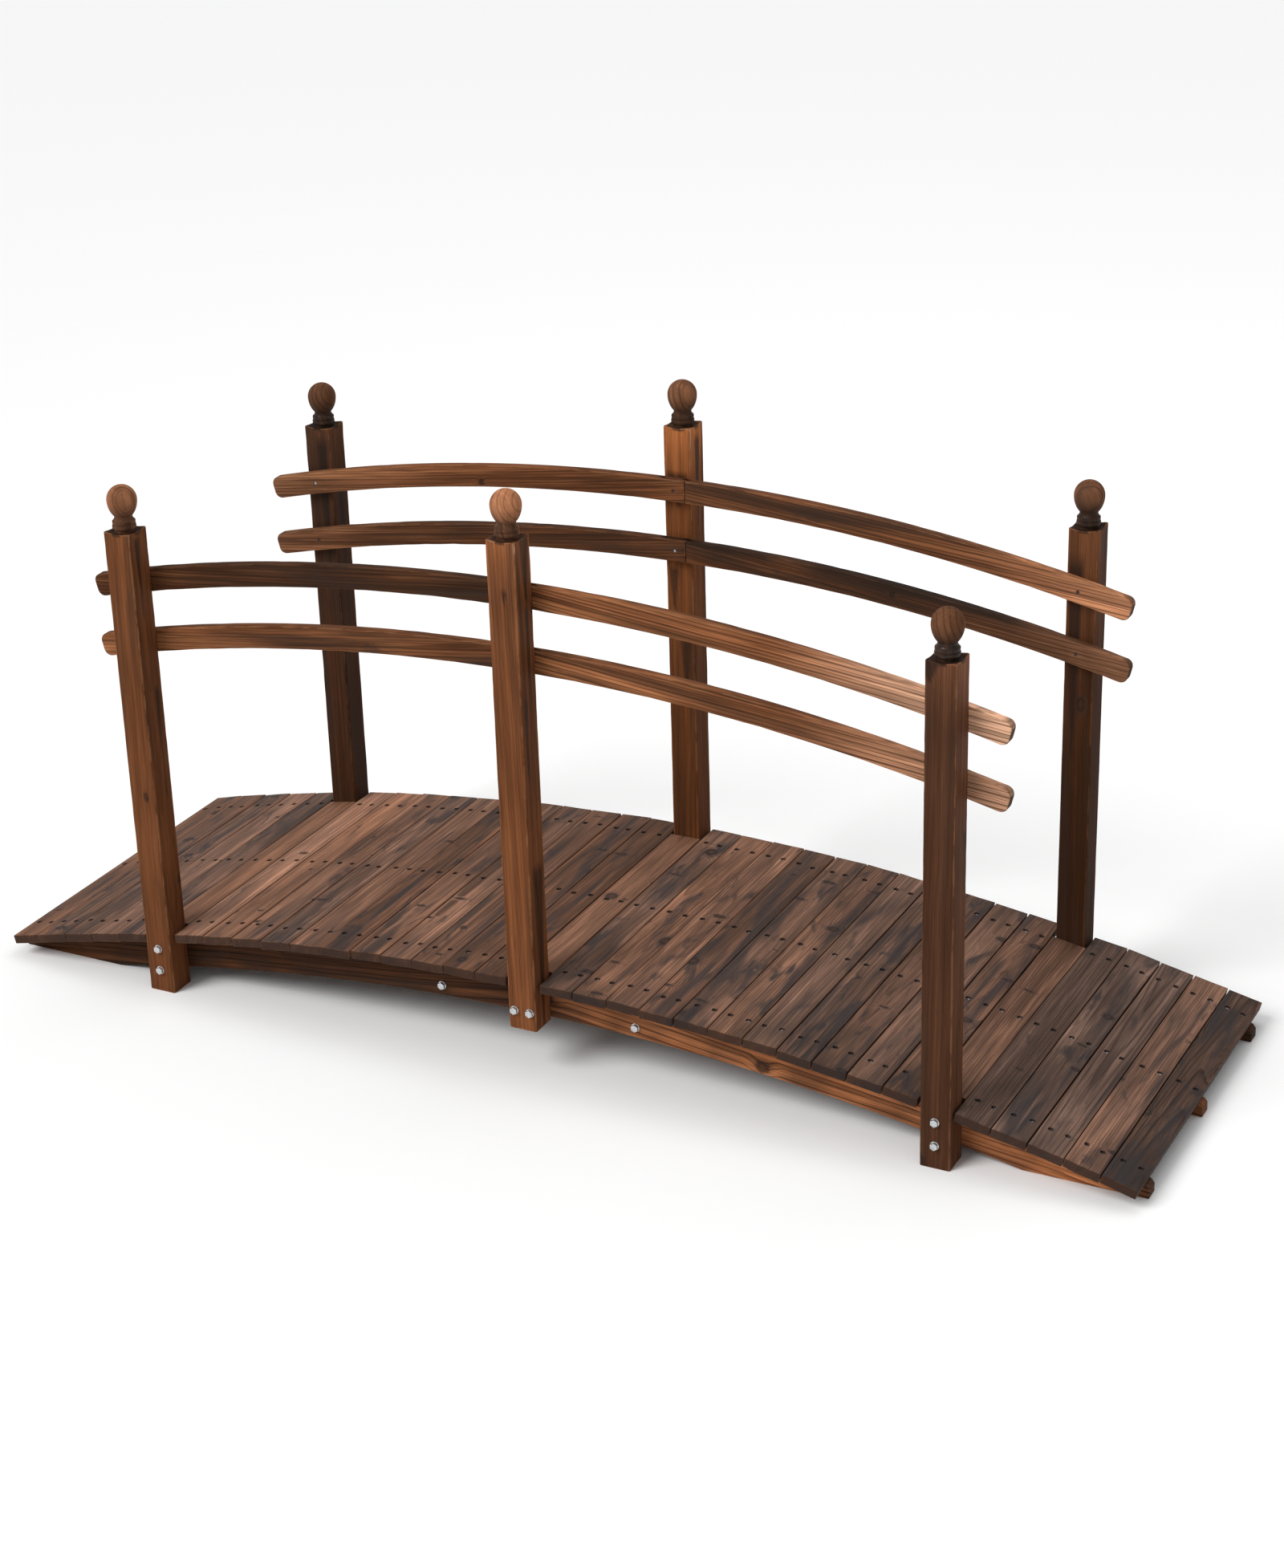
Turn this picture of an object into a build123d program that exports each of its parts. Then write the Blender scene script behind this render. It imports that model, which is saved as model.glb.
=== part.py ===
from build123d import *
import math
import os

# Arched garden bridge of dark fir: boards on three arched stringers, six turned posts, four curved rails.
# Millimetres. +X runs along the walkway, +Y across it, +Z up. The origin is on the ground under the crown.

# Deck
deck_span = 2278.0
deck_crown_height = 185.0
deck_end_height = 40.5
board_thickness = 17.0
board_gap = 2.5
board_end_setback = 6.0
board_count = 35
boards_per_bay = 12

# Stringers and the splice boards that join their halves under the crown
stringer_length = 2286.0
stringer_thickness = 30.0
stringer_depth = 72.0
stringer_tip_chamfer = 6.0
stringer_butt_gap = 1.0
splice_length = 470.0
splice_thickness = 20.0
splice_depth = 56.0
splice_lift = 6.0

# Posts
post_side = 55.0
post_edge_chamfer = 2.5
bridge_width = 720.0
end_post_shoulder_height = 919.0
middle_post_shoulder_height = 1012.0
middle_post_foot_drop = 5.0

# Turned head of a post, heights from the shoulder up
ball_diameter = 53.5
ball_centre_height = 58.0
neck_diameter = 31.5
neck_height = 26.0
base_diameter = 43.0
bead_height = 4.0
groove_height = 2.5
groove_depth = 2.0
ring_height = 5.0

# Rails
rail_height = 43.0
rail_thickness = 19.0
rail_length = 1762.0
upper_rail_crown_height = 895.0
lower_rail_crown_height = 778.0
rail_drop_at_end_posts = 85.0
rail_end_radius = 14.0
rail_lap_length = 46.0
rail_lap_play = 1.0

# Small clearances, and how far a cut runs past what it cuts
post_board_clearance = 2.0
cut_overrun = 5.0


# Values that follow from the sizes above
def radius_through(half_chord, rise):
    """Radius of the arc that falls by rise at half_chord from its crown."""
    return (half_chord**2 + rise**2) / (2 * rise)


deck_radius = radius_through(deck_span / 2, deck_crown_height - deck_end_height)
deck_centre_height = deck_crown_height - deck_radius
stringer_top_radius = deck_radius - board_thickness
stringer_underside_radius = stringer_top_radius - stringer_depth

board_pitch_angle = 2 * math.asin(deck_span / 2 / deck_radius) / board_count
board_width = deck_radius * board_pitch_angle - board_gap
deck_width = bridge_width - 2 * board_end_setback

post_outer_face = bridge_width / 2
post_inner_face = post_outer_face - post_side
post_axis = post_outer_face - post_side / 2
post_station = deck_radius * math.sin(boards_per_bay * board_pitch_angle)
middle_post_foot_height = deck_centre_height + stringer_underside_radius - middle_post_foot_drop

rail_radius = radius_through(post_station, rail_drop_at_end_posts)

sides = {"front": -1, "back": 1}
ends = {"left": -1, "right": 1}


def slab(outline, back_face, thickness):
    """Extrude an X-Z outline from the plane Y = back_face towards -Y."""
    return extrude(Plane.XZ.offset(-back_face) * outline, thickness)


def to_end(solid, end_sign):
    """Keep a solid built for the right end, or mirror it to the left end."""
    return solid if end_sign > 0 else mirror(solid, about=Plane.YZ)


# Stringers
def stringer_outline():
    """Right half: concentric arcs, a flat bearing on the ground and a blunt tip with its top corner cut."""
    arch = Circle(stringer_top_radius) - Circle(stringer_underside_radius)
    start = stringer_butt_gap / 2
    reach = stringer_length / 2 - start
    window = Pos(start, 0) * Rectangle(reach, deck_crown_height, align=(Align.MIN, Align.MIN))
    half = (Pos(0, deck_centre_height) * arch) & window
    tip_corner = half.vertices().sort_by(Axis.X)[-2:].sort_by(Axis.Y)[-1]
    return chamfer(tip_corner, stringer_tip_chamfer)


def splice_outline():
    """Short board of the stringers' curve, set clear of both their edges."""
    underside = stringer_underside_radius + splice_lift
    arch = Circle(underside + splice_depth) - Circle(underside)
    window = Pos(0, deck_crown_height) * Rectangle(splice_length, 2 * deck_crown_height)
    return (Pos(0, deck_centre_height) * arch) & window


def build_stringers():
    backs = {
        "front": stringer_thickness - post_inner_face,
        "middle": stringer_thickness / 2,
        "back": post_inner_face,
    }
    splice_backs = {
        "front": backs["front"] + splice_thickness,
        "middle": backs["middle"] + splice_thickness,
        "back": backs["back"] - stringer_thickness,
    }
    nodes = {}
    for row, back_face in backs.items():
        half = slab(stringer_outline(), back_face, stringer_thickness)
        for end, sign in ends.items():
            nodes[f"{row}_stringer_{end}"] = to_end(half, sign)
        nodes[f"{row}_splice_board"] = slab(splice_outline(), splice_backs[row], splice_thickness)
    return nodes


# Deck boards
def deck_board(index, length):
    """A flat board lying tangent on the arch, index counted from the crown."""
    angle = index * board_pitch_angle
    middle_radius = stringer_top_radius + board_thickness / 2
    place = Pos(middle_radius * math.sin(angle), 0, deck_centre_height + middle_radius * math.cos(angle))
    return place * Rot(0, math.degrees(angle), 0) * Box(board_width, length, board_thickness)


def build_deck():
    """Boards in bays between the posts, with a shorter board between each pair of posts."""
    last = board_count // 2
    post_board_length = 2 * (post_inner_face - post_board_clearance)
    nodes = {"middle_post_board": deck_board(0, post_board_length)}
    for end, sign in ends.items():
        bay = [deck_board(sign * i, deck_width) for i in range(1, boards_per_bay)]
        outer = [deck_board(sign * i, deck_width) for i in range(boards_per_bay + 1, last + 1)]
        nodes[f"{end}_bay_boards"] = Compound(bay)
        nodes[f"{end}_post_board"] = deck_board(sign * boards_per_bay, post_board_length)
        nodes[f"{end}_end_boards"] = Compound(outer)
    return nodes


# Posts
def turned_head():
    """Ball, waisted neck, ring and bead in one turning, standing on the shoulder at height zero."""
    ball_radius = ball_diameter / 2
    neck_radius = neck_diameter / 2
    base_radius = base_diameter / 2
    groove_radius = base_radius - groove_depth
    groove_middle = bead_height + groove_height / 2
    ring_foot = bead_height + groove_height
    ring_top = ring_foot + ring_height
    # The straight taper above the neck leaves the ball at a tangent
    ball_rise = ball_centre_height - neck_height
    neck_distance = math.hypot(neck_radius, ball_rise)
    tangent_angle = math.acos(ball_radius / neck_distance) - math.atan2(ball_rise, neck_radius)
    ball_foot = Vector(
        ball_radius * math.cos(tangent_angle), ball_centre_height + ball_radius * math.sin(tangent_angle)
    )
    ball_side = Vector(ball_radius, ball_centre_height)
    ball_top = Vector(0, ball_centre_height + ball_radius)
    foot_to_ball = Polyline(
        (0, 0),
        (base_radius, 0),
        (base_radius, bead_height),
        (groove_radius, groove_middle),
        (base_radius, ring_foot),
        (base_radius, ring_top),
        (neck_radius, neck_height),
        ball_foot,
    )
    ball = ThreePointArc(ball_foot, ball_side, ball_top)
    return revolve(Plane.XZ * make_face([foot_to_ball, ball, Line(ball_top, (0, 0))]), Axis.Z)


def post(foot_height, shoulder_height):
    """Square shaft with eased edges and a turned head, on the Z axis."""
    on_foot = (Align.CENTER, Align.CENTER, Align.MIN)
    shaft = Box(post_side, post_side, shoulder_height - foot_height, align=on_foot)
    eased_edges = shaft.edges().filter_by(Axis.Z) + shaft.faces().sort_by(Axis.Z)[-1].edges()
    shaft = chamfer(eased_edges, post_edge_chamfer)
    return Pos(0, 0, foot_height) * shaft + Pos(0, 0, shoulder_height) * turned_head()


def build_posts():
    end_post = post(0, end_post_shoulder_height)
    middle_post = post(middle_post_foot_height, middle_post_shoulder_height)
    nodes = {}
    for side, side_sign in sides.items():
        nodes[f"{side}_middle_post"] = Pos(0, side_sign * post_axis, 0) * middle_post
        for end, end_sign in ends.items():
            nodes[f"{side}_{end}_post"] = Pos(end_sign * post_station, side_sign * post_axis, 0) * end_post
    return nodes


# Rails
def rail_outline(crown_height):
    """Right half rail, running past the crown by the lap's half length, with rounded outer corners."""
    outer = rail_radius + rail_height / 2
    inner = rail_radius - rail_height / 2
    end_angle = math.degrees(math.asin(rail_length / 2 / rail_radius))
    lap_angle = math.degrees(math.asin((rail_lap_length - rail_lap_play) / 2 / rail_radius))
    centre = (0, crown_height - rail_radius)
    top = CenterArc(centre, outer, 90 - end_angle, end_angle + lap_angle)
    underside = CenterArc(centre, inner, 90 - end_angle, end_angle + lap_angle)
    band = make_face([top, underside, Line(top @ 0, underside @ 0), Line(top @ 1, underside @ 1)])
    return fillet(band.vertices().sort_by(Axis.X)[-2:], rail_end_radius)


def half_rail(crown_height, side_sign, end_sign):
    """One rail half on the posts' inner faces, halved in thickness where it laps the other at the crown."""
    back_face = post_inner_face if side_sign > 0 else rail_thickness - post_inner_face
    rail = to_end(slab(rail_outline(crown_height), back_face, rail_thickness), end_sign)
    lap_on_walkway_side = side_sign * end_sign < 0
    cut_sign = side_sign if lap_on_walkway_side else -side_sign
    middle_face = side_sign * (post_inner_face - rail_thickness / 2)
    reach = (rail_lap_length + rail_lap_play) / 2
    height = rail_height + 2 * cut_overrun
    cut = Pos(
        end_sign * (reach - rail_lap_length) / 2,
        middle_face + cut_sign * rail_thickness / 2,
        crown_height,
    ) * Box(reach + rail_lap_length, rail_thickness, height)
    return rail - cut


def build_rails():
    crowns = {"upper": upper_rail_crown_height, "lower": lower_rail_crown_height}
    nodes = {}
    for side, side_sign in sides.items():
        for level, crown_height in crowns.items():
            for end, end_sign in ends.items():
                nodes[f"{side}_{level}_rail_{end}"] = half_rail(crown_height, side_sign, end_sign)
    return nodes


bridge = {**build_stringers(), **build_deck(), **build_posts(), **build_rails()}

os.makedirs("parts", exist_ok=True)
for node, shape in bridge.items():
    export_step(shape, f"parts/{node}.step")
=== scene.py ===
"""Arched garden bridge of scorched fir: boards on arched stringers, turned posts and curved rails."""

import math
import random
from collections import namedtuple
from functools import cache, partial
from itertools import product

import bmesh
import bpy
from bpy.props import FloatProperty, FloatVectorProperty, IntProperty, PointerProperty
from bpy.types import Operator, Panel, PropertyGroup
from mathutils import Matrix, Vector, noise


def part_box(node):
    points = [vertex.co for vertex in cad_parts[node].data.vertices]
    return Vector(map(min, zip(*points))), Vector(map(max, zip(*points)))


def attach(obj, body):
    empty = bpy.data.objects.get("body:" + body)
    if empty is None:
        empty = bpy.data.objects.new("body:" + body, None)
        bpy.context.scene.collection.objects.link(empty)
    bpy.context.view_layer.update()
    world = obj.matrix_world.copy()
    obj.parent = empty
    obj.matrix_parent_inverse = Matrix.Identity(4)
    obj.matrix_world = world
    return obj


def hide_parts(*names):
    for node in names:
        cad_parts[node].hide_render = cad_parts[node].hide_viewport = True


bl_info = {
    "name": "Arched Garden Bridge",
    "version": (1, 0, 0),
    "blender": (4, 5, 0),
    "location": "3D View > Sidebar > Bridge",
    "description": "Dresses the arched garden bridge in scorched fir, with its bolts and screws",
    "category": "Object",
}

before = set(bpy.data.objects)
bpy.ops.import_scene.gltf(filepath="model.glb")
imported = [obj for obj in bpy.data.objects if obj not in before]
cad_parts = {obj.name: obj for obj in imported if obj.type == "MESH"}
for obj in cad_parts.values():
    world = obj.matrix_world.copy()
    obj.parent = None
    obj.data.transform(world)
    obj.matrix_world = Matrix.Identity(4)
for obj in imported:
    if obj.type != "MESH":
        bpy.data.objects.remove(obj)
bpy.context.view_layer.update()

BODY = "root"
SIDES = {"front": -1, "back": 1}
ENDS = {"left": -1, "right": 1}


# Places read from the frame

def middle_of(node):
    """Middle of a node's box."""
    low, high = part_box(node)
    return (low + high) / 2


def extent_of(node):
    """Size of a node's box."""
    low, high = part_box(node)
    return high - low


def radius_through(half_chord, rise):
    """Radius of the arc that falls by rise at half_chord from its crown."""
    return (half_chord**2 + rise**2) / (2 * rise)


BOARDS_PER_BAY = 12
BOARDS_FROM_CROWN = 17
board_width, _, board_thickness = extent_of("middle_post_board")
crown_board = middle_of("middle_post_board")
station_board = middle_of("right_post_board")
deck_radius = radius_through(station_board.x, crown_board.z - station_board.z)
deck_centre = Vector((0, 0, crown_board.z - deck_radius))
board_pitch = math.asin(station_board.x / deck_radius) / BOARDS_PER_BAY
stringer_top_radius = deck_radius - board_thickness / 2
post_station = middle_of("front_right_post").x
post_side = extent_of("front_right_post").x
post_inner_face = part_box("back_right_post")[0].y
post_outer_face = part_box("back_right_post")[1].y


# Settings

def length(name, default, description):
    """A length setting in metres."""
    return FloatProperty(
        name=name, description=description, default=default, min=0, precision=5,
        subtype="DISTANCE", unit="LENGTH",
    )


def share(name, default, description):
    """A plain number setting."""
    return FloatProperty(name=name, description=description, default=default, precision=3)


def angle(name, default, description):
    """An angle setting in radians."""
    return FloatProperty(
        name=name, description=description, default=default, subtype="ANGLE", unit="ROTATION"
    )


def millimetres(name, default, description):
    """A camera's size in millimetres."""
    return FloatProperty(name=name, description=description, default=default, unit="CAMERA")


def whole(name, default, description):
    """A whole number setting."""
    return IntProperty(name=name, description=description, default=default)


def colour(name, default, description):
    """A colour setting."""
    return FloatVectorProperty(
        name=name, description=description, default=default, size=3, min=0, max=1, subtype="COLOR"
    )


def point(name, default, description):
    """A place setting in metres."""
    return FloatVectorProperty(
        name=name, description=description, default=default, size=3, precision=4,
        subtype="XYZ", unit="LENGTH",
    )


class DeckSettings(PropertyGroup):
    """Sizes of the deck boards and of the screws sunk in them."""

    edge_ease: length("Edge ease", 0.0010, "Rounding of a board's edges")
    width_play: length("Width play", 0.0011, "How far a board's width differs from the next")
    end_play: length("End play", 0.0035, "How far a board's ends fall short of the longest")
    cup: length("Cup", 0.0006, "Rise or fall of a board's middle line")
    twist: length("Twist", 0.0011, "Rise of a board's corner from twist")
    wave: length("Wave", 0.0005, "Unevenness of a board's sawn edges")
    row_inset: length("Screw row inset", 0.064, "Outer screw rows, from the board's end")
    screw_spread: length("Screw spread", 0.031, "Distance between the two screws of a row")
    screw_scatter: length("Screw scatter", 0.0028, "How far a screw strays from its place")
    seat_radius: length("Seat radius", 0.0051, "Radius of a sunk screw's hole at the surface")
    seat_depth: length("Seat depth", 0.0036, "Depth of the screw head under the surface")
    pad: length("Seat pad", 0.0082, "Half side of the patch around a screw")
    burnt_end: length("Burnt end", 0.16, "How far the front ends are burnt")
    # Share of seats that get a pale crescent on one side of the rim
    pale_rim_share: share("Pale rim seats", 0.38, "Share of screw seats with a torn pale rim")
    flat_sawn: share("Flat sawn", 0.22, "Share of boards with arched figure")
    lengths: whole("Lengths", 15, "Facets along a board")
    seed: whole("Seed", 11, "Start of the boards' random values")


class StringerSettings(PropertyGroup):
    """Sizes of the arched stringers and of the boards that splice them."""

    depth: length("Depth", 0.072, "Depth of a stringer, square to its curve")
    tip_chamfer: length("Tip chamfer", 0.006, "Corner cut off the top of a stringer's tip")
    edge_ease: length("Edge ease", 0.0015, "Rounding of the edges")
    splice_depth: length("Splice depth", 0.056, "Depth of a splice board")
    splice_lift: length("Splice lift", 0.006, "Splice board above the stringer's underside")
    steps: whole("Steps", 30, "Facets along half a stringer")


class PostSettings(PropertyGroup):
    """Sizes of a post and of its turned head, heights from the shoulder up."""

    edge_ease: length("Edge ease", 0.0030, "Rounding of the upright edges")
    edge_wear: length("Edge wear", 0.0007, "Dents along the upright edges")
    head_height: length("Head height", 0.08475, "Height of the turned head")
    ball_radius: length("Ball radius", 0.0272, "Radius of the ball")
    ball_height: length("Ball height", 0.0553, "Height of the ball's middle")
    ball_drop: length("Ball drop", 0.0370, "Long half axis of the ball's lower half")
    neck_radius: length("Neck radius", 0.0162, "Radius of the waist under the ball")
    neck_height: length("Neck height", 0.0240, "Height of the waist")
    ring_radius: length("Ring radius", 0.0215, "Radius of the two ridges at the foot of the head")
    ring_height: length("Ring height", 0.0176, "Height of the upper ridge's top")
    groove_depth: length("Groove depth", 0.0021, "Depth of the groove between the ridges")
    base_radius: length("Base radius", 0.0180, "Radius where the head meets the shoulder")
    dish: length("Dish", 0.0036, "Hollow that the turning leaves in the shoulder")
    shoulder_wave: length("Shoulder wave", 0.0010, "Unevenness of the shoulder's edges")
    turns: whole("Turns", 48, "Facets around the turned head")
    columns: whole("Columns", 16, "Facets across a face of the shaft")
    rows: whole("Rows", 56, "Facets along the shaft")


class RailSettings(PropertyGroup):
    """Sizes of the curved rails."""

    height: length("Height", 0.043, "Height of a rail, square to its curve")
    drop: length("Drop", 0.085, "Fall of a rail from its crown to the end posts")
    end_radius: length("End radius", 0.014, "Rounding of a rail's outer corners")
    edge_ease: length("Edge ease", 0.0022, "Rounding of the edges")
    edge_wear: length("Edge wear", 0.0011, "Dents along the upper and lower edges")
    lap_length: length("Lap length", 0.046, "Length of the half lap at the crown")
    screw_radius: length("Screw hole radius", 0.0036, "Radius of a sunk screw's hole at the surface")
    steps: whole("Steps", 48, "Facets between the lap and the end post")


class HardwareSettings(PropertyGroup):
    """Sizes of the hex bolts and where they go through."""

    across_flats: length("Across flats", 0.013, "Hex head and nut, across flats")
    head_height: length("Head height", 0.0053, "Height of a hex head")
    nut_height: length("Nut height", 0.0065, "Height of a nut")
    shank_radius: length("Shank radius", 0.004, "Radius of the bolt's shank")
    washer_radius: length("Washer radius", 0.0082, "Radius of a washer")
    washer_thickness: length("Washer thickness", 0.0014, "Thickness of a washer")
    end_post_upper: length("End post, upper bolt", 0.090, "Height above the ground")
    end_post_lower: length("End post, lower bolt", 0.045, "Height above the ground")
    middle_post_spread: length("Middle post, spread", 0.0155, "Each bolt from the post's axis")
    middle_post_height: length("Middle post, height", 0.128, "Height above the ground")
    splice_reach: length("Splice bolt reach", 0.197, "Each bolt from the crown")
    splice_height: length("Splice bolt height", 0.112, "Height above the ground")


class FinishSettings(PropertyGroup):
    """Colours of the scorched and stained wood and of the metal."""

    deck_pale: colour("Deck pale", (0.180, 0.085, 0.049), "Spring growth of a deck board")
    deck_dark: colour("Deck dark", (0.066, 0.031, 0.0185), "Autumn growth of a deck board")
    deck_warm: colour("Deck warm", (0.33, 0.150, 0.082), "Unburnt patches of a deck board")
    post_pale: colour("Post pale", (0.156, 0.052, 0.0165), "Spring growth of a post")
    post_dark: colour("Post dark", (0.047, 0.0155, 0.0055), "Autumn growth of a post")
    post_warm: colour("Post warm", (0.245, 0.085, 0.028), "Unburnt patches of a post")
    rail_pale: colour("Rail pale", (0.190, 0.066, 0.0235), "Spring growth of a rail")
    rail_dark: colour("Rail dark", (0.034, 0.0125, 0.0052), "Autumn growth of a rail")
    rail_warm: colour("Rail warm", (0.32, 0.124, 0.047), "Unburnt patches of a rail")
    stringer_pale: colour("Stringer pale", (0.165, 0.057, 0.020), "Spring growth of a stringer")
    stringer_dark: colour("Stringer dark", (0.032, 0.0115, 0.0048), "Autumn growth of a stringer")
    stringer_warm: colour("Stringer warm", (0.27, 0.100, 0.037), "Unburnt patches of a stringer")
    bare: colour("Bare", (0.66, 0.37, 0.23), "Wood that took no stain")
    worn: colour("Worn", (0.31, 0.140, 0.064), "Rubbed edges")
    scorch: colour("Scorch", (0.0300, 0.0185, 0.0130), "Burnt wood")
    deck_soot: colour("Deck soot", (0.0310, 0.0275, 0.0285), "Blue-black smudges on the deck")
    soot: colour("Soot", (0.0330, 0.0225, 0.0175), "Brown-black smudges on the other wood")
    zinc: colour("Zinc", (0.62, 0.63, 0.64), "Plated bolts")
    seed: whole("Seed", 5, "Start of the pieces' random tones")


class StageSettings(PropertyGroup):
    """Camera, floor and lights."""

    camera_place: point("Camera place", (2.4177, -4.5199, 2.7234), "Where the camera stands")
    camera_target: point("Camera target", (0.0657, 0.0, 0.4333), "What the middle of the picture shows")
    camera_roll: angle("Camera roll", math.radians(-1.74), "Turn of the camera about its view")
    lens: millimetres("Lens", 70.49, "Focal length on a 36 mm tall picture")
    picture_height: millimetres("Picture height", 36.0, "Height of the sensor")
    floor_side: length("Floor side", 60.0, "Side of the floor")
    floor_colour: colour("Floor colour", (0.88, 0.88, 0.88), "Pale floor")
    sky_strength: share("Sky strength", 0.55, "Even light from all around")
    key_power: share("Key power", 2.4, "Broad soft light from the upper left")
    fill_power: FloatProperty(
        name="Fill power", description="Soft light from above", default=60.0, unit="POWER"
    )


class BridgeSettings(PropertyGroup):
    """All settings of the bridge."""

    deck: PointerProperty(type=DeckSettings)
    stringers: PointerProperty(type=StringerSettings)
    posts: PointerProperty(type=PostSettings)
    rails: PointerProperty(type=RailSettings)
    hardware: PointerProperty(type=HardwareSettings)
    finish: PointerProperty(type=FinishSettings)
    stage: PointerProperty(type=StageSettings)


# Small node helpers

def add_node(tree, kind, **values):
    """A new node with its own settings."""
    node = tree.nodes.new(kind)
    for name, value in values.items():
        setattr(node, name, value)
    return node


def plug(tree, value, socket):
    """Link a socket, or set a plain value."""
    if isinstance(value, bpy.types.NodeSocket):
        tree.links.new(value, socket)
    else:
        socket.default_value = value


def fill(tree, node, **values):
    """Link or set a node's inputs, named by their labels."""
    for label, value in values.items():
        plug(tree, value, node.inputs[label.replace("_", " ").capitalize()])


def feed(tree, node, *values):
    """Link or set a node's inputs in their order, and give back its outputs."""
    for socket, value in zip(node.inputs, values):
        plug(tree, value, socket)
    return node.outputs


def math_node(tree, operation, *values, clamp=False):
    """A Math node's output."""
    node = add_node(tree, "ShaderNodeMath", operation=operation, use_clamp=clamp)
    return feed(tree, node, *values)["Value"]


def times(tree, first, *others):
    """The product of two or more numbers."""
    for value in others:
        first = math_node(tree, "MULTIPLY", first, value)
    return first


def plus(tree, first, *others):
    """The sum of two or more numbers."""
    for value in others:
        first = math_node(tree, "ADD", first, value)
    return first


def minus(tree, first, second):
    """The difference of two numbers."""
    return math_node(tree, "SUBTRACT", first, second)


def vector_node(tree, operation, *values):
    """A Vector Math node's vector output, or its number for a length."""
    node = add_node(tree, "ShaderNodeVectorMath", operation=operation)
    return feed(tree, node, *values)["Value" if operation == "LENGTH" else "Vector"]


def smooth_step(tree, value, low, high, from_low=0.0, to_high=1.0):
    """A soft step of value between low and high."""
    node = add_node(tree, "ShaderNodeMapRange", interpolation_type="SMOOTHSTEP")
    return feed(tree, node, value, low, high, from_low, to_high)["Result"]


def blend(tree, factor, first, second, mode="MIX"):
    """A colour mix."""
    node = add_node(tree, "ShaderNodeMix", data_type="RGBA", blend_type=mode, clamp_factor=True)
    colours = [socket for socket in node.inputs if socket.type == "RGBA"]
    plug(tree, factor, node.inputs["Factor"])
    for socket, value in zip(colours, (first, second)):
        plug(tree, value if isinstance(value, bpy.types.NodeSocket) else (*value, 1.0), socket)
    return next(socket for socket in node.outputs if socket.type == "RGBA")


def noise_node(tree, vector, detail=2.0, roughness=0.5, distortion=0.0):
    """Noise between 0 and 1, at a scale already in the vector."""
    node = add_node(tree, "ShaderNodeTexNoise", noise_dimensions="3D")
    fill(tree, node, vector=vector, scale=1.0, detail=detail, roughness=roughness, distortion=distortion)
    return node.outputs["Fac"]


def stretched(tree, grain, along, across):
    """Grain coordinates scaled along and across the fibres, in cycles per metre."""
    return vector_node(tree, "MULTIPLY", grain, (along, across, across))


def split(tree, vector):
    """The three numbers of a vector."""
    return feed(tree, add_node(tree, "ShaderNodeSeparateXYZ"), vector)


def joined(tree, x, y, z=0.0):
    """A vector of three numbers."""
    return feed(tree, add_node(tree, "ShaderNodeCombineXYZ"), x, y, z)["Vector"]


def start_group(name, inputs, outputs):
    """A new group, its input's sockets and its output node. An input without a default is a vector."""
    group = bpy.data.node_groups.new(name, "ShaderNodeTree")
    for label, default in inputs.items():
        kind = "NodeSocketVector" if default is None else "NodeSocketFloat"
        socket = group.interface.new_socket(name=label, in_out="INPUT", socket_type=kind)
        if default is not None:
            socket.default_value = default
    for label in outputs:
        group.interface.new_socket(name=label, in_out="OUTPUT", socket_type="NodeSocketFloat")
    entry = add_node(group, "NodeGroupInput")
    return group, entry.outputs, add_node(group, "NodeGroupOutput")


def place_group(tree, group, **values):
    """A group node in a material, with its inputs filled by label."""
    node = add_node(tree, "ShaderNodeGroup", node_tree=group)
    fill(tree, node, **values)
    return node.outputs


def attribute(tree, name, output="Vector"):
    """A mesh attribute of the piece."""
    return add_node(tree, "ShaderNodeAttribute", attribute_name=name).outputs[output]


# Shared wood effects

HALF = (0.5, 0.5, 0.5)

# Knots: raggedness, range and least of their stretch and size, and where each mark fades, in knot radii
RAGGED_SCALE = 130.0
RAGGED_SHIFT = (0.006, 0.006, 0.0)
KNOT_SCATTER = 0.9
SQUEEZE_PLAY = (1.1, 0.45)
GROWTH_PLAY = (0.9, 0.45)
CORE_FADE = (1.0, 0.6)
RIM_OUTER_FADE = (1.5, 0.95)
RIM_INNER_FADE = (0.4, 0.85)
SMEAR_FADE = (2.6, 0.4)
PUSH_FADE = (3.6, 0.5)


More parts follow.
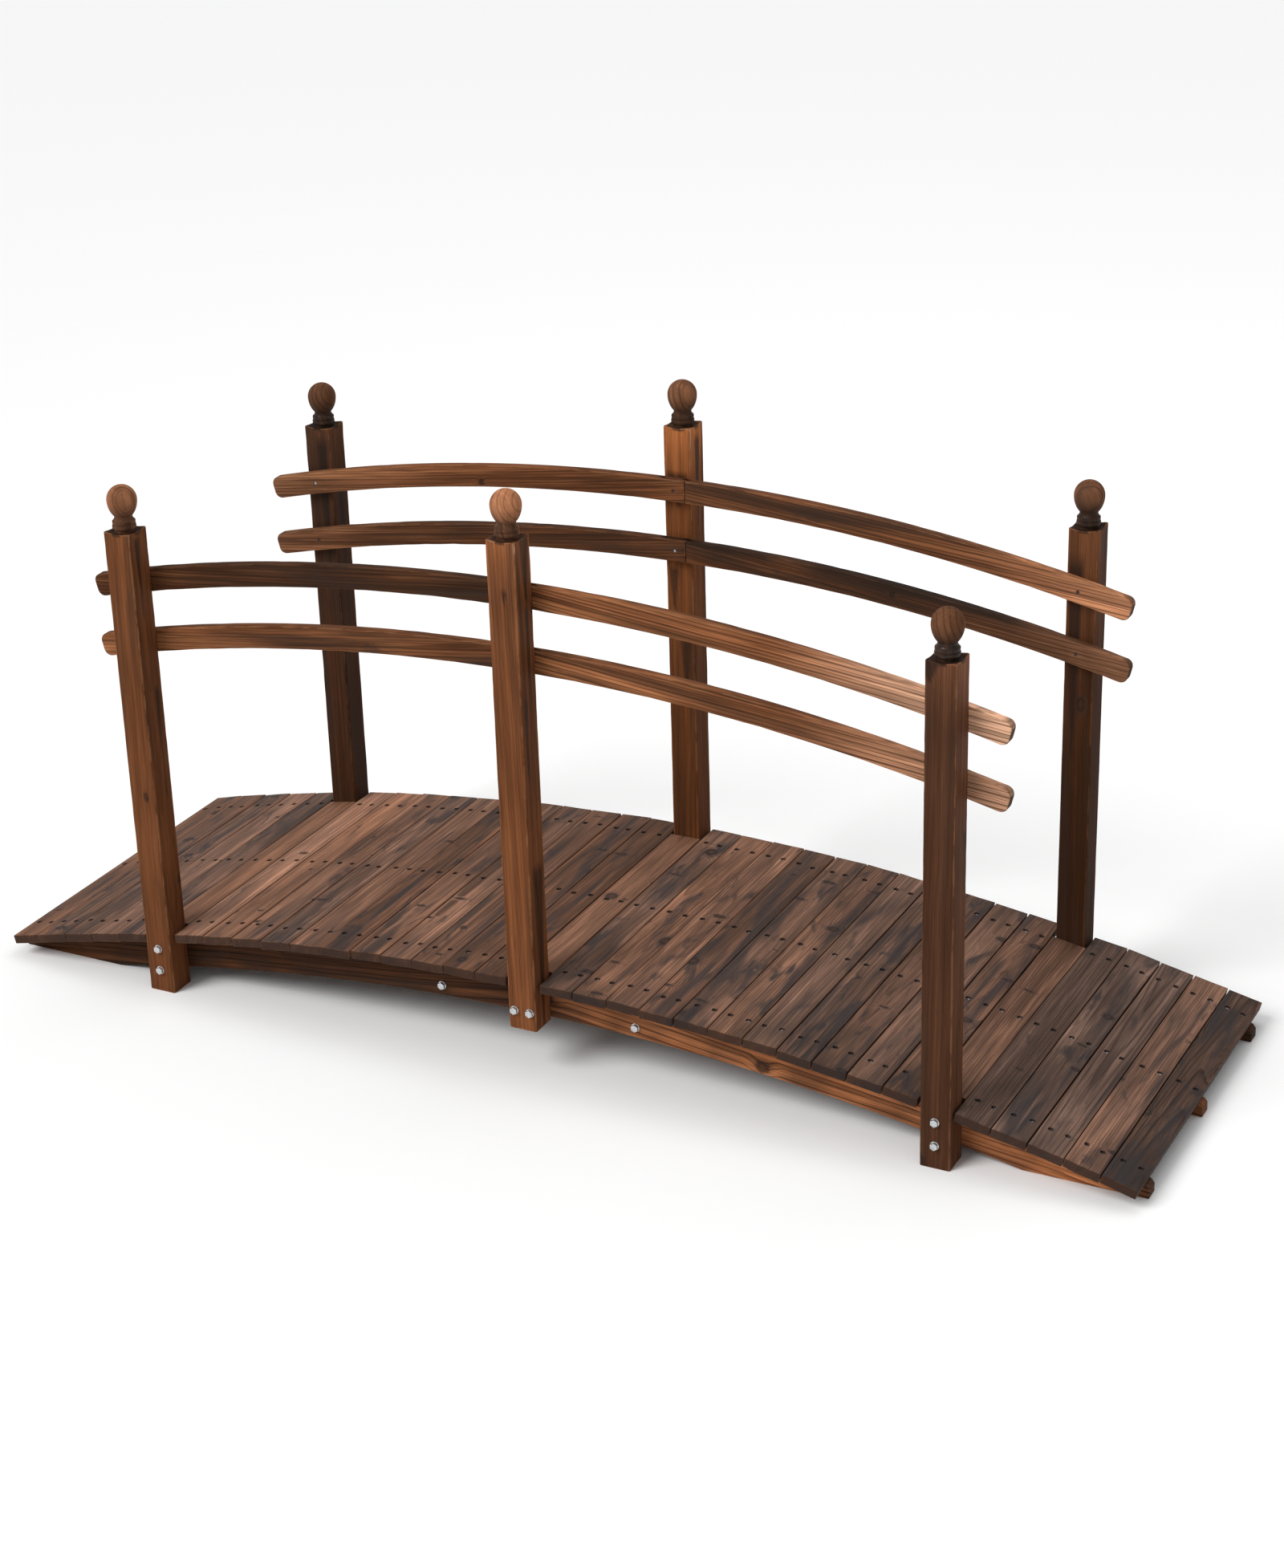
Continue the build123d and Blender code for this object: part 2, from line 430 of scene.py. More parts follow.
def knot_group():
    """Knots strewn over a face, round or drawn out: core, rim, smear, and push on the growth rings."""
    group, entry, leave = start_group(
        "Knots", {"Grain": None, "Spacing": 0.11, "Share": 0.4, "Radius": 0.008, "Squeeze": 1.0},
        ("Core", "Rim", "Smear", "Bend"),
    )
    along, across, through = split(group, entry["Grain"])
    flat = joined(group, along, plus(group, across, through))
    ragged = add_node(group, "ShaderNodeTexNoise", noise_dimensions="2D")
    fill(group, ragged, vector=flat, scale=RAGGED_SCALE)
    shift = vector_node(group, "SUBTRACT", ragged.outputs["Color"], HALF)
    place = vector_node(group, "ADD", flat, vector_node(group, "MULTIPLY", shift, RAGGED_SHIFT))
    cells = add_node(group, "ShaderNodeTexVoronoi", voronoi_dimensions="2D", feature="F1")
    scale = math_node(group, "DIVIDE", 1.0, entry["Spacing"])
    fill(group, cells, vector=place, scale=scale, randomness=KNOT_SCATTER)
    red, green, blue = feed(group, add_node(group, "ShaderNodeSeparateColor"), cells.outputs["Color"])
    shown = math_node(group, "LESS_THAN", red, entry["Share"])
    off_along, off_across, _ = split(group, vector_node(group, "SUBTRACT", place, cells.outputs["Position"]))
    squeeze = times(group, entry["Squeeze"], math_node(group, "MULTIPLY_ADD", blue, *SQUEEZE_PLAY))
    drawn = joined(group, times(group, off_along, squeeze), off_across)
    radius = times(group, entry["Radius"], math_node(group, "MULTIPLY_ADD", green, *GROWTH_PLAY))
    reach = math_node(group, "DIVIDE", vector_node(group, "LENGTH", drawn), radius)
    outer = smooth_step(group, reach, *RIM_OUTER_FADE)
    inner = smooth_step(group, reach, *RIM_INNER_FADE)
    push = times(group, smooth_step(group, reach, *PUSH_FADE), shown)
    fill(
        group, leave, core=times(group, shown, smooth_step(group, reach, *CORE_FADE)),
        rim=times(group, outer, inner, shown), bend=times(group, push, radius),
        smear=times(group, smooth_step(group, reach, *SMEAR_FADE), shown),
    )
    return group


# Growth rings: their slow drift in cycles per metre along and across, uneven years, and a year's dark end
RING_DRIFT = (2.4, 11.0)
UNEVEN_RATE = 0.43
UNEVEN_DEPTH = 1.9
LATE_FULL = 0.92
LATE_FADE = (1.0, 0.94)


def ring_group():
    """Growth rings about a pith line along the grain, so that faces show arches and ends show arcs."""
    group, entry, leave = start_group(
        "Growth rings",
        {"Grain": None, "Ring width": 0.005, "Wander": 0.006, "Bend": 0.0, "Late share": 0.5},
        ("Late wood", "Ring tone", "Years"),
    )
    reach = vector_node(group, "LENGTH", vector_node(group, "MULTIPLY", entry["Grain"], (0.0, 1.0, 1.0)))
    slow = noise_node(group, stretched(group, entry["Grain"], *RING_DRIFT), 2.0, 0.5)
    drift = times(group, minus(group, slow, 0.5), entry["Wander"])
    years = math_node(group, "DIVIDE", plus(group, reach, drift, entry["Bend"]), entry["Ring width"])
    uneven = add_node(group, "ShaderNodeTexNoise", noise_dimensions="1D")
    fill(group, uneven, w=times(group, years, UNEVEN_RATE), scale=1.0, detail=1.0)
    years = math_node(group, "MULTIPLY_ADD", uneven.outputs["Fac"], UNEVEN_DEPTH, years)
    season = math_node(group, "FRACT", years)
    rise = smooth_step(group, season, minus(group, 1.0, entry["Late share"]), LATE_FULL)
    fall = smooth_step(group, season, *LATE_FADE)
    year = add_node(group, "ShaderNodeTexWhiteNoise", noise_dimensions="1D")
    fill(group, year, w=math_node(group, "FLOOR", years))
    late = times(group, rise, fall)
    fill(group, leave, late_wood=late, ring_tone=year.outputs["Value"], years=years)
    return group


# Fibres: cycles per metre along and across the grain, roughness and distortion of each layer
FIBRE_LAYERS = {
    "Fibre": (14.0, 620.0, 0.65, 0.0),
    "Strand": (7.0, 270.0, 0.6, 0.15),
    "Streak": (2.6, 95.0, 0.6, 0.25),
}


def fibre_group():
    """Fine fibres, strands and broad streaks that run along the grain."""
    group, entry, leave = start_group("Fibres", {"Grain": None}, FIBRE_LAYERS)
    for label, (along, across, roughness, distortion) in FIBRE_LAYERS.items():
        layer = stretched(group, entry["Grain"], along, across)
        plug(group, noise_node(group, layer, 3.0, roughness, distortion), leave.inputs[label])
    return group


# Scorch: scales in cycles per metre, offsets that set the patterns apart, and where each mark sets in
ZONE_ACROSS = 7.0
GLOW_OFFSET = (31.7, 5.3, 2.1)
DAB_OFFSET = (3.1, 1.7, 0.9)
SOOT_BAND = (3.6, 36.0)
SOOT_DAB = (10.0, 34.0)
WARM_LINE = (3.0, 130.0)
BURN_START = 0.86
BURN_RANGE = 0.56
BURN_SOFTNESS = 0.18
SOOT_LEAD = 0.06
BAND_FULL = 0.15
DAB_LAG = 0.04
DAB_FULL = 0.16
GLOW_STEP = (0.44, 0.70)
LINE_STEP = (0.54, 0.70)
LINE_DEPTH = 0.7


def scorch_group():
    """Burnt zones along the growth rings, soot in long bands and small dabs, and warm clear wood."""
    group, entry, leave = start_group(
        "Scorch", {"Grain": None, "Years": 0.0, "Amount": 0.5, "Along": 3.0, "Per year": 0.3},
        ("Scorch", "Soot", "Warm"),
    )
    grain = entry["Grain"]
    along, across, through = split(group, grain)
    zone = joined(
        group, times(group, along, entry["Along"]), times(group, entry["Years"], entry["Per year"]),
        times(group, plus(group, across, through), ZONE_ACROSS),
    )
    apart = vector_node(group, "ADD", grain, DAB_OFFSET)
    flame = noise_node(group, zone, 3.0, 0.55, 0.35)
    glow = noise_node(group, vector_node(group, "ADD", zone, GLOW_OFFSET), 3.0, 0.6, 0.3)
    band = noise_node(group, stretched(group, grain, *SOOT_BAND), 3.0, 0.5, 0.5)
    dab = noise_node(group, stretched(group, apart, *SOOT_DAB), 3.0, 0.55, 0.6)
    line = noise_node(group, stretched(group, apart, *WARM_LINE), 2.0, 0.6, 0.2)
    edge = minus(group, BURN_START, times(group, entry["Amount"], BURN_RANGE))
    low = minus(group, edge, SOOT_LEAD)
    burnt = smooth_step(group, flame, minus(group, edge, BURN_SOFTNESS), plus(group, edge, BURN_SOFTNESS))
    banded = smooth_step(group, band, low, plus(group, edge, BAND_FULL))
    dabbed = smooth_step(group, dab, plus(group, low, DAB_LAG), plus(group, edge, DAB_FULL))
    soot = math_node(group, "MAXIMUM", banded, dabbed)
    clear = minus(group, 1.0, math_node(group, "MAXIMUM", burnt, soot))
    lit = times(group, smooth_step(group, line, *LINE_STEP), LINE_DEPTH)
    bright = math_node(group, "MAXIMUM", smooth_step(group, glow, *GLOW_STEP), lit)
    fill(group, leave, scorch=burnt, soot=soot, warm=times(group, bright, clear))
    return group


# Edges: how patchy the rubbing is, in cycles per metre, and how thin the end grain's colour lies
RUB_PATCHES = (22.0, 60.0)
RUB_STEP = (0.30, 0.66)
END_GRAIN_FADE = (0.0012, 0.0002)


def edge_group():
    """Rubbed edges and end grain, from how near a point is to the piece's own edges."""
    group, entry, leave = start_group(
        "Edges", {"Place": None, "Half size": None, "Grain": None, "Width": 0.004}, ("Wear", "End grain")
    )
    from_middle = vector_node(group, "ABSOLUTE", entry["Place"])
    along, across, through = split(group, vector_node(group, "SUBTRACT", entry["Half size"], from_middle))
    least = math_node(group, "MINIMUM", along, math_node(group, "MINIMUM", across, through))
    most = math_node(group, "MAXIMUM", along, math_node(group, "MAXIMUM", across, through))
    total = plus(group, along, plus(group, across, through))
    middle = minus(group, minus(group, total, least), most)
    patchy = noise_node(group, stretched(group, entry["Grain"], *RUB_PATCHES), 3.0, 0.6)
    reach = times(group, entry["Width"], smooth_step(group, patchy, *RUB_STEP))
    end_grain = smooth_step(group, along, *END_GRAIN_FADE)
    fill(group, leave, wear=smooth_step(group, middle, reach, 0.0), end_grain=end_grain)
    return group


@cache
def wood_effects():
    """The shared groups, made on first use."""
    return knot_group(), ring_group(), fibre_group(), scorch_group(), edge_group()


# Materials

def start_material(name):
    """A new material with its Principled shader."""
    material = bpy.data.materials.new(name)
    material.use_nodes = True
    tree = material.node_tree
    tree.nodes.clear()
    shader = add_node(tree, "ShaderNodeBsdfPrincipled")
    output = add_node(tree, "ShaderNodeOutputMaterial")
    tree.links.new(shader.outputs["BSDF"], output.inputs["Surface"])
    return material, tree, shader


def surface(tree, shader, values):
    """Link or set the shader's inputs."""
    for label, value in values.items():
        plug(tree, value, shader.inputs[label])


def grey(tree, value):
    """A grey of that brightness."""
    return feed(tree, add_node(tree, "ShaderNodeCombineColor"), value, value, value)["Color"]


def faded(tree, body):
    """The same colour, greyer and darker."""
    node = add_node(tree, "ShaderNodeHueSaturation")
    fill(tree, node, saturation=0.42, value=0.80, color=body)
    return node.outputs["Color"]


def darker(colour_values, tone):
    """The same colour at a share of its brightness."""
    return [tone * value for value in colour_values]


def bumped(tree, height, strength, distance):
    """The normal that a height gives."""
    bump = add_node(tree, "ShaderNodeBump")
    fill(tree, bump, strength=strength, distance=distance, height=height)
    return bump.outputs["Normal"]


class WoodMarks:
    """What the piece's own attributes and the shared effects say at a point of the wood."""

    def __init__(self, tree, look):
        knots, rings, fibres, scorch, edges = wood_effects()
        grain = attribute(tree, "grain")
        self.tint = split(tree, attribute(tree, "tint"))
        # char holds burnt wood, and also painted shade in the deck's screw seats and on the lower half of the
        # posts' balls
        self.char = attribute(tree, "char", "Fac")
        self.figure = attribute(tree, "figure", "Fac")
        self.bleach = attribute(tree, "bleach", "Fac")
        self.knots = place_group(
            tree, knots, grain=grain, spacing=look["knot_spacing"], share=look["knot_share"],
            radius=look["knot_radius"], squeeze=look["knot_squeeze"],
        )
        self.rings = place_group(
            tree, rings, grain=grain, ring_width=look["ring_width"], wander=look["wander"],
            bend=self.knots["Bend"], late_share=look["late_share"],
        )
        self.fibres = place_group(tree, fibres, grain=grain)
        self.zones = place_group(
            tree, scorch, grain=grain, years=self.rings["Years"], amount=self.tint["Y"],
            along=look["scorch_along"], per_year=look["scorch_per_year"],
        )
        self.edges = place_group(
            tree, edges, place=attribute(tree, "place"), half_size=attribute(tree, "half_size"),
            grain=grain, width=look["wear_width"],
        )


# Steps of the fibre layers, and the tones between which fine fibres play
STREAK_STEP = (0.30, 0.72)
FIBRE_STEP = (0.2, 0.8)
FIBRE_TONES = (0.80, 1.20)
STRAND_STEP = (0.25, 0.75)


def clear_wood(tree, marks, colours, look):
    """Stained wood before the fire: spring and autumn growth, warm and bare patches, years and fibres."""
    contrast = times(tree, marks.figure, look["ring_contrast"])
    late = math_node(tree, "MULTIPLY", marks.rings["Late wood"], contrast, clamp=True)
    warm = times(tree, marks.zones["Warm"], look["warm_depth"])
    body = blend(tree, warm, colours["pale"], colours["warm"])
    body = blend(tree, marks.bleach, body, colours["bare"])
    body = blend(tree, late, body, colours["dark"])
    year_play = times(tree, marks.figure, look["year_play"])
    year = math_node(tree, "MULTIPLY_ADD", minus(tree, marks.rings["Ring tone"], 0.5), year_play, 1.0)
    streak = smooth_step(tree, marks.fibres["Streak"], *STREAK_STEP, look["streak_low"], look["streak_high"])
    fibre = smooth_step(tree, marks.fibres["Fibre"], *FIBRE_STEP, *FIBRE_TONES)
    play = look["strand"]
    strand = smooth_step(tree, marks.fibres["Strand"], *STRAND_STEP, 1.0 - play, 1.0 + play)
    tone = times(tree, year, streak, times(tree, fibre, strand), marks.tint["X"])
    body = blend(tree, 1.0, body, grey(tree, tone), "MULTIPLY")
    return blend(tree, marks.tint["Z"], body, faded(tree, body))


# How strands break up soot and char, how deep knots are coloured, and how dark some marks are
SOOT_BREAK = (0.30, 0.62, 0.45, 1.0)
CHAR_BREAK = (0.28, 0.60, 0.62, 0.95)
CORE_DEPTH = 0.5
RIM_DEPTH = 0.55
RIM_TONE = 0.5
END_TONE = 0.55
CHAR_TONE = 0.45


def burnt_wood(tree, marks, body, colours, look):
    """The fire's marks over the stained wood: scorch, soot, knots, end grain, rubbed edges and char, with the
    painted shade that the char attribute also carries.
    """
    broken = smooth_step(tree, marks.fibres["Strand"], *SOOT_BREAK)
    layers = (
        (marks.zones["Scorch"], look["scorch_depth"], colours["scorch"]),
        (times(tree, marks.zones["Soot"], broken), look["soot_depth"], colours["soot"]),
        (marks.knots["Smear"], look["smear_depth"], colours["soot"]),
        (marks.knots["Core"], CORE_DEPTH, colours["dark"]),
        (marks.knots["Rim"], RIM_DEPTH, darker(colours["scorch"], RIM_TONE)),
        (marks.edges["End grain"], look["end_depth"], darker(colours["dark"], END_TONE)),
    )
    for mask, depth, stain in layers:
        body = blend(tree, times(tree, mask, depth), body, stain)
    strength = times(tree, marks.tint["X"], look["wear_depth"])
    rubbed = math_node(tree, "MULTIPLY", marks.edges["Wear"], strength, clamp=True)
    body = blend(tree, rubbed, body, colours["worn"])
    # The char attribute also carries painted shade, in the deck's screw seats and on the lower half of the
    # posts' balls; here it is laid on in the same near-black as the char
    char_and_shade = times(tree, marks.char, smooth_step(tree, marks.fibres["Strand"], *CHAR_BREAK))
    return blend(tree, char_and_shade, body, darker(colours["soot"], CHAR_TONE))


# Relief of the wood's surface, and its sheen where it is charred
LATE_RELIEF = 0.7
FIBRE_RELIEF = 0.6
RIM_RELIEF = 0.8
WOOD_RELIEF = 0.0006
ROUGHNESS_PLAY = 0.22
COAT_STEP = (0.86, 1.0)
COAT_ROUGHNESS = 0.22


def wood_normal(tree, marks, look):
    """Raised autumn growth and fibres, and sunk rims of knots."""
    fibres = times(tree, marks.fibres["Fibre"], FIBRE_RELIEF)
    height = math_node(tree, "MULTIPLY_ADD", marks.rings["Late wood"], LATE_RELIEF, fibres)
    height = minus(tree, height, times(tree, marks.knots["Rim"], RIM_RELIEF))
    return bumped(tree, height, look["bump"], WOOD_RELIEF)


def scorched_fir(name, colours, look):
    """Stained and scorched fir that reads the piece's grain, place, tint, bleach and char attributes."""
    material, tree, shader = start_material(name)
    marks = WoodMarks(tree, look)
    body = clear_wood(tree, marks, colours, look)
    roughness = math_node(tree, "MULTIPLY_ADD", marks.fibres["Fibre"], ROUGHNESS_PLAY, look["roughness"])
    surface(tree, shader, {
        "Base Color": burnt_wood(tree, marks, body, colours, look),
        "Roughness": minus(tree, roughness, times(tree, marks.char, look["char_gloss"])),
        "Specular IOR Level": look["specular"],
        "Coat Weight": smooth_step(tree, marks.char, *COAT_STEP, 0.0, look["char_coat"]),
        "Coat Roughness": COAT_ROUGHNESS,
        "Normal": wood_normal(tree, marks, look),
    })
    return material


DECK_LOOK = dict(
    knot_spacing=0.105, knot_share=0.42, knot_radius=0.0078, knot_squeeze=1.9,
    ring_width=0.0046, wander=0.010, late_share=0.52, ring_contrast=0.52, year_play=0.24,
    streak_low=0.84, streak_high=1.15, strand=0.28, warm_depth=0.75, soot_depth=0.90,
    scorch_along=3.0, scorch_per_year=0.17, scorch_depth=0.50, smear_depth=0.72,
    wear_width=0.0024, wear_depth=0.22, end_depth=0.9,
    roughness=0.52, char_gloss=0.1, char_coat=0.0, specular=0.09, bump=0.5,
)
KNOTTY_LOOK = dict(
    DECK_LOOK, knot_spacing=0.15, knot_share=0.85, knot_radius=0.0135, knot_squeeze=1.0,
    ring_width=0.0050, ring_contrast=0.75, warm_depth=0.9, smear_depth=0.5,
)
POST_LOOK = dict(
    knot_spacing=0.16, knot_share=0.38, knot_radius=0.0050, knot_squeeze=0.75,
    ring_width=0.0042, wander=0.008, late_share=0.40, ring_contrast=0.42, year_play=0.18,
    streak_low=0.78, streak_high=1.16, strand=0.1, warm_depth=0.6, soot_depth=0.5,
    scorch_along=1.5, scorch_per_year=0.16, scorch_depth=0.72, smear_depth=0.6,
    wear_width=0.0048, wear_depth=0.62, end_depth=0.5,
    roughness=0.56, char_gloss=0.16, char_coat=0.25, specular=0.035, bump=0.45,
)
RAIL_LOOK = dict(
    knot_spacing=0.20, knot_share=0.32, knot_radius=0.0052, knot_squeeze=0.9,
    ring_width=0.0066, wander=0.008, late_share=0.46, ring_contrast=0.86, year_play=0.50,
    streak_low=0.62, streak_high=1.42, strand=0.22, warm_depth=1.0, soot_depth=0.62,
    scorch_along=2.2, scorch_per_year=0.20, scorch_depth=0.66, smear_depth=0.6,
    wear_width=0.0040, wear_depth=0.62, end_depth=0.85,
    roughness=0.54, char_gloss=0.1, char_coat=0.0, specular=0.045, bump=0.5,
)
STRINGER_LOOK = dict(
    knot_spacing=0.15, knot_share=0.50, knot_radius=0.0078, knot_squeeze=0.8,
    ring_width=0.0110, wander=0.016, late_share=0.4, ring_contrast=0.80, year_play=0.66,
    streak_low=0.62, streak_high=1.40, strand=0.22, warm_depth=0.9, soot_depth=0.66,
    scorch_along=1.8, scorch_per_year=0.26, scorch_depth=0.74, smear_depth=0.6,
    wear_width=0.0036, wear_depth=0.40, end_depth=0.6,
    roughness=0.56, char_gloss=0.1, char_coat=0.0, specular=0.05, bump=0.5,
)


# Each wood's look, the kind of piece whose colours it takes, and its soot
WOODS = {
    "deck_fir": (DECK_LOOK, "deck", "deck_soot"),
    "knotty_fir": (KNOTTY_LOOK, "deck", "deck_soot"),
    "post_fir": (POST_LOOK, "post", "soot"),
    "rail_fir": (RAIL_LOOK, "rail", "soot"),
    "stringer_fir": (STRINGER_LOOK, "stringer", "soot"),
}


@cache
def wood(name, finish):
    """One of the woods, made on first use."""
    look, kind, soot = WOODS[name]
    sources = {tone: f"{kind}_{tone}" for tone in ("pale", "dark", "warm")}
    sources.update(soot=soot, bare="bare", worn="worn", scorch="scorch")
    return scorched_fir(name, {tone: getattr(finish, source) for tone, source in sources.items()}, look)


# Noise on the metal, in cycles per metre, and the colour of a soiled screw head
BLOTCH_SCALE = (260.0, 260.0, 260.0)
SCRATCH_SCALE = (3200.0, 400.0, 600.0)
BRIGHT_SCREW_SCALE = (37.0, 29.0, 9.0)
DIRT_SCALE = (700.0, 700.0, 700.0)
DIRT_COLOUR = (0.020, 0.016, 0.014)
SCRATCH_RELIEF = 0.0002


def zinc_metal(finish):
    """Bright plated steel with faint blotches and fine scratches."""
    material, tree, shader = start_material("zinc_plate")
    place = add_node(tree, "ShaderNodeTexCoord").outputs["Object"]
    blotch = noise_node(tree, vector_node(tree, "MULTIPLY", place, BLOTCH_SCALE), 3.0, 0.6)
    scratch = noise_node(tree, vector_node(tree, "MULTIPLY", place, SCRATCH_SCALE), 2.0, 0.6)
    tone = smooth_step(tree, blotch, 0.25, 0.75, 0.74, 1.1)
    surface(tree, shader, {
        "Base Color": blend(tree, 1.0, finish.zinc, grey(tree, tone), "MULTIPLY"),
        "Metallic": 1.0,
        "Roughness": math_node(tree, "MULTIPLY_ADD", scratch, 0.22, 0.18),
        "Normal": bumped(tree, scratch, 0.15, SCRATCH_RELIEF),
    })
    return material


@cache
def screw_metal(finish):
    """Screw heads, some dark with dirt and stain and some bright, made on first use."""
    material, tree, shader = start_material("screw_steel")
    place = add_node(tree, "ShaderNodeTexCoord").outputs["Object"]
    bright = noise_node(tree, vector_node(tree, "MULTIPLY", place, BRIGHT_SCREW_SCALE), 1.0, 0.5)
    dirt = noise_node(tree, vector_node(tree, "MULTIPLY", place, DIRT_SCALE), 2.0, 0.6)
    clean = times(tree, smooth_step(tree, bright, 0.56, 0.64), smooth_step(tree, dirt, 0.70, 0.35))
    surface(tree, shader, {
        "Base Color": blend(tree, clean, DIRT_COLOUR, finish.zinc),
        "Metallic": times(tree, clean, 0.9),
        "Roughness": math_node(tree, "MULTIPLY_ADD", clean, -0.2, 0.5),
    })
    return material


# Shared modelling steps

# Points nearer than this are one, corners above this are eased, and shading is smooth below this
TOUCHING = 1e-6
SHARP_CORNER = math.radians(42)
SMOOTH_CORNER = math.radians(35)

# A face looks along a direction when the cosine between the two is above this
FACING = 0.9

# Drilled seats, in shares of their radius: inset, outer edge, steps between rings, screw head and recess
SEAT_INSET = 0.3
SEAT_EDGE = 1.28
SEAT_STEP = 0.05
HEAD_SHARE = 0.90
RECESS_SHARE = 0.30
RECESS_DEPTH = 0.3

# Material slots after a piece's own wood
SCREW_SLOT = 1
KNOTTY_SLOT = 2

# Cycles per metre of the slow drift of tone along a piece, and how two pieces' drifts are set apart
TONE_DRIFT = 7.0
DRIFT_STEP = 7.3
DRIFT_SEEDS = (0, 9)


def limited(value, most=1.0):
    """A value held between nothing and the most."""
    return max(0.0, min(most, value))


def fading(distance, reach):
    """1 at no distance, falling evenly to 0 at the reach."""
    return max(0.0, 1 - distance / reach)


# Random patches: cycles per metre in X and Y, a step between pieces, their middle, depth and most
Patches = namedtuple("Patches", "rate_x rate_y step middle depth most")


def patch_at(co, patches, index=0):
    """How strong a patch is at a point."""
    place = Vector((co.x * patches.rate_x, co.y * patches.rate_y, index * patches.step))
    return limited(patches.middle + patches.depth * noise.noise(place), patches.most)


def random_sign(rng):
    """Either side, at random."""
    return rng.choice((-1, 1))


def cut(bm, place, normal, geometry=None, clear=False):
    """Cut the mesh by a plane, and on request remove what lies beyond it."""
    geometry = geometry or bm.verts[:] + bm.edges[:] + bm.faces[:]
    bmesh.ops.bisect_plane(
        bm, geom=geometry, dist=TOUCHING, plane_co=place, plane_no=normal, clear_outer=clear
    )


def round_edges(bm, edges, width, segments=2):
    """Round the given edges."""
    bmesh.ops.bevel(
        bm, geom=edges, offset=width, segments=segments, profile=0.5, affect="EDGES", material=-1,
        clamp_overlap=True,
    )


def cut_corners(bm, corners, width, segments):
    """Chamfer or round corners of a flat outline."""
    bmesh.ops.bevel(
        bm, geom=corners, offset=width, segments=segments, profile=0.5, affect="VERTICES",
        material=-1,
    )


def sharp_edges(bm):
    """Edges where two faces meet at a marked corner."""
    return [edge for edge in bm.edges if edge.is_manifold and edge.calc_face_angle() > SHARP_CORNER]


def ring_of(face, centre, radius):
    """Move a face's corners onto a circle about centre, in the face's own plane."""
    middle = face.calc_center_median()
    lift = face.normal * (middle - centre).dot(face.normal)
    for vert in face.verts:
        spoke = vert.co - middle
        vert.co = centre + lift + spoke.normalized() * radius


def sink_screw(bm, face, centre, radius, depth):
    """Turn a square face into a drilled seat with a screw head and its drive recess."""
    step = radius * SEAT_STEP
    bmesh.ops.inset_individual(bm, faces=[face], thickness=radius * SEAT_INSET)
    bmesh.ops.subdivide_edges(bm, edges=face.edges[:], cuts=2)
    face.normal_update()
    ring_of(face, centre, radius * SEAT_EDGE)
    bmesh.ops.inset_individual(bm, faces=[face], thickness=step)
    ring_of(face, centre, radius)
    bmesh.ops.inset_individual(bm, faces=[face], thickness=step, depth=-depth)
    ring_of(face, centre, radius * HEAD_SHARE)
    face.material_index = SCREW_SLOT
    before = set(bm.faces)
    bmesh.ops.inset_individual(bm, faces=[face], thickness=step, depth=-depth * RECESS_DEPTH)
    ring_of(face, centre, radius * RECESS_SHARE)
    for side in set(bm.faces) - before:
        side.material_index = SCREW_SLOT


def face_at(bm, centre, normal, reach):
    """The face that looks along normal and whose middle is within reach of centre."""
    def offset(face):
        return (face.calc_center_median() - centre).length
    near = [face for face in bm.faces if face.normal.dot(normal) > FACING and offset(face) < reach]
    if not near:
        raise RuntimeError("no face for a screw seat")
    return min(near, key=offset)


# What the wood reads at a vertex
VECTOR_MARKS = ("grain", "place", "half_size", "tint")
NUMBER_MARKS = ("char", "figure", "bleach")


def paint_wood(bm, **marks):
    """Write what the wood reads to the vertices: plain values, or functions of a vertex's place."""
    layers = {label: bm.verts.layers.float_vector.new(label) for label in VECTOR_MARKS}
    layers.update({label: bm.verts.layers.float.new(label) for label in NUMBER_MARKS})
    for vert in bm.verts:
        for label, layer in layers.items():
            value = marks.get(label, 0.0)
            vert[layer] = value(vert.co) if callable(value) else value


def merge_into(target, source):
    """Add a finished bmesh to another, and free it."""
    mesh = bpy.data.meshes.new("part")
    source.to_mesh(mesh)
    source.free()
    target.from_mesh(mesh)
    bpy.data.meshes.remove(mesh)


def finish_piece(bm, name, materials, nodes=(), smooth=SMOOTH_CORNER):
    """Make the object, give it its materials and tie it to the frame."""
    mesh = bpy.data.meshes.new(name)
    for face in bm.faces:
        face.smooth = True
    bm.to_mesh(mesh)
    bm.free()
    mesh.set_sharp_from_angle(angle=smooth)
    for material in materials:
        mesh.materials.append(material)
    piece = bpy.data.objects.new(name, mesh)
    bpy.context.scene.collection.objects.link(piece)
    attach(piece, BODY)
    if nodes:
        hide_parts(*nodes)
    return piece


def pick_tint(rng, tint, play):
    """Random brightness, burnt share and greyness about a middle tint."""
    tone, scorch, fade = (middle + rng.uniform(-most, most) for middle, most in zip(tint, play))
    return Vector((tone, scorch, max(0.0, fade)))


def slow_chance(along, seed):
    """A slow random play along a piece, from -1 to 1."""
    return noise.noise(Vector((along * TONE_DRIFT, seed * DRIFT_STEP, 0.5)))


def drifting(tint, along_of, play, seed):
    """A tone that drifts along a piece by a share of itself."""
    def tint_of(co):
        chance = slow_chance(along_of(co), seed)
        return Vector((tint.x * (1 + play * chance), tint.y, tint.z))
    return tint_of


# Deck

DECK_ROWS = {
    "left_end_boards": range(-BOARDS_FROM_CROWN, -BOARDS_PER_BAY),
    "left_post_board": (-BOARDS_PER_BAY,),
    "left_bay_boards": range(1 - BOARDS_PER_BAY, 0),
    "middle_post_board": (0,),
    "right_bay_boards": range(1, BOARDS_PER_BAY),
    "right_post_board": (BOARDS_PER_BAY,),
    "right_end_boards": range(BOARDS_PER_BAY + 1, BOARDS_FROM_CROWN + 1),
}

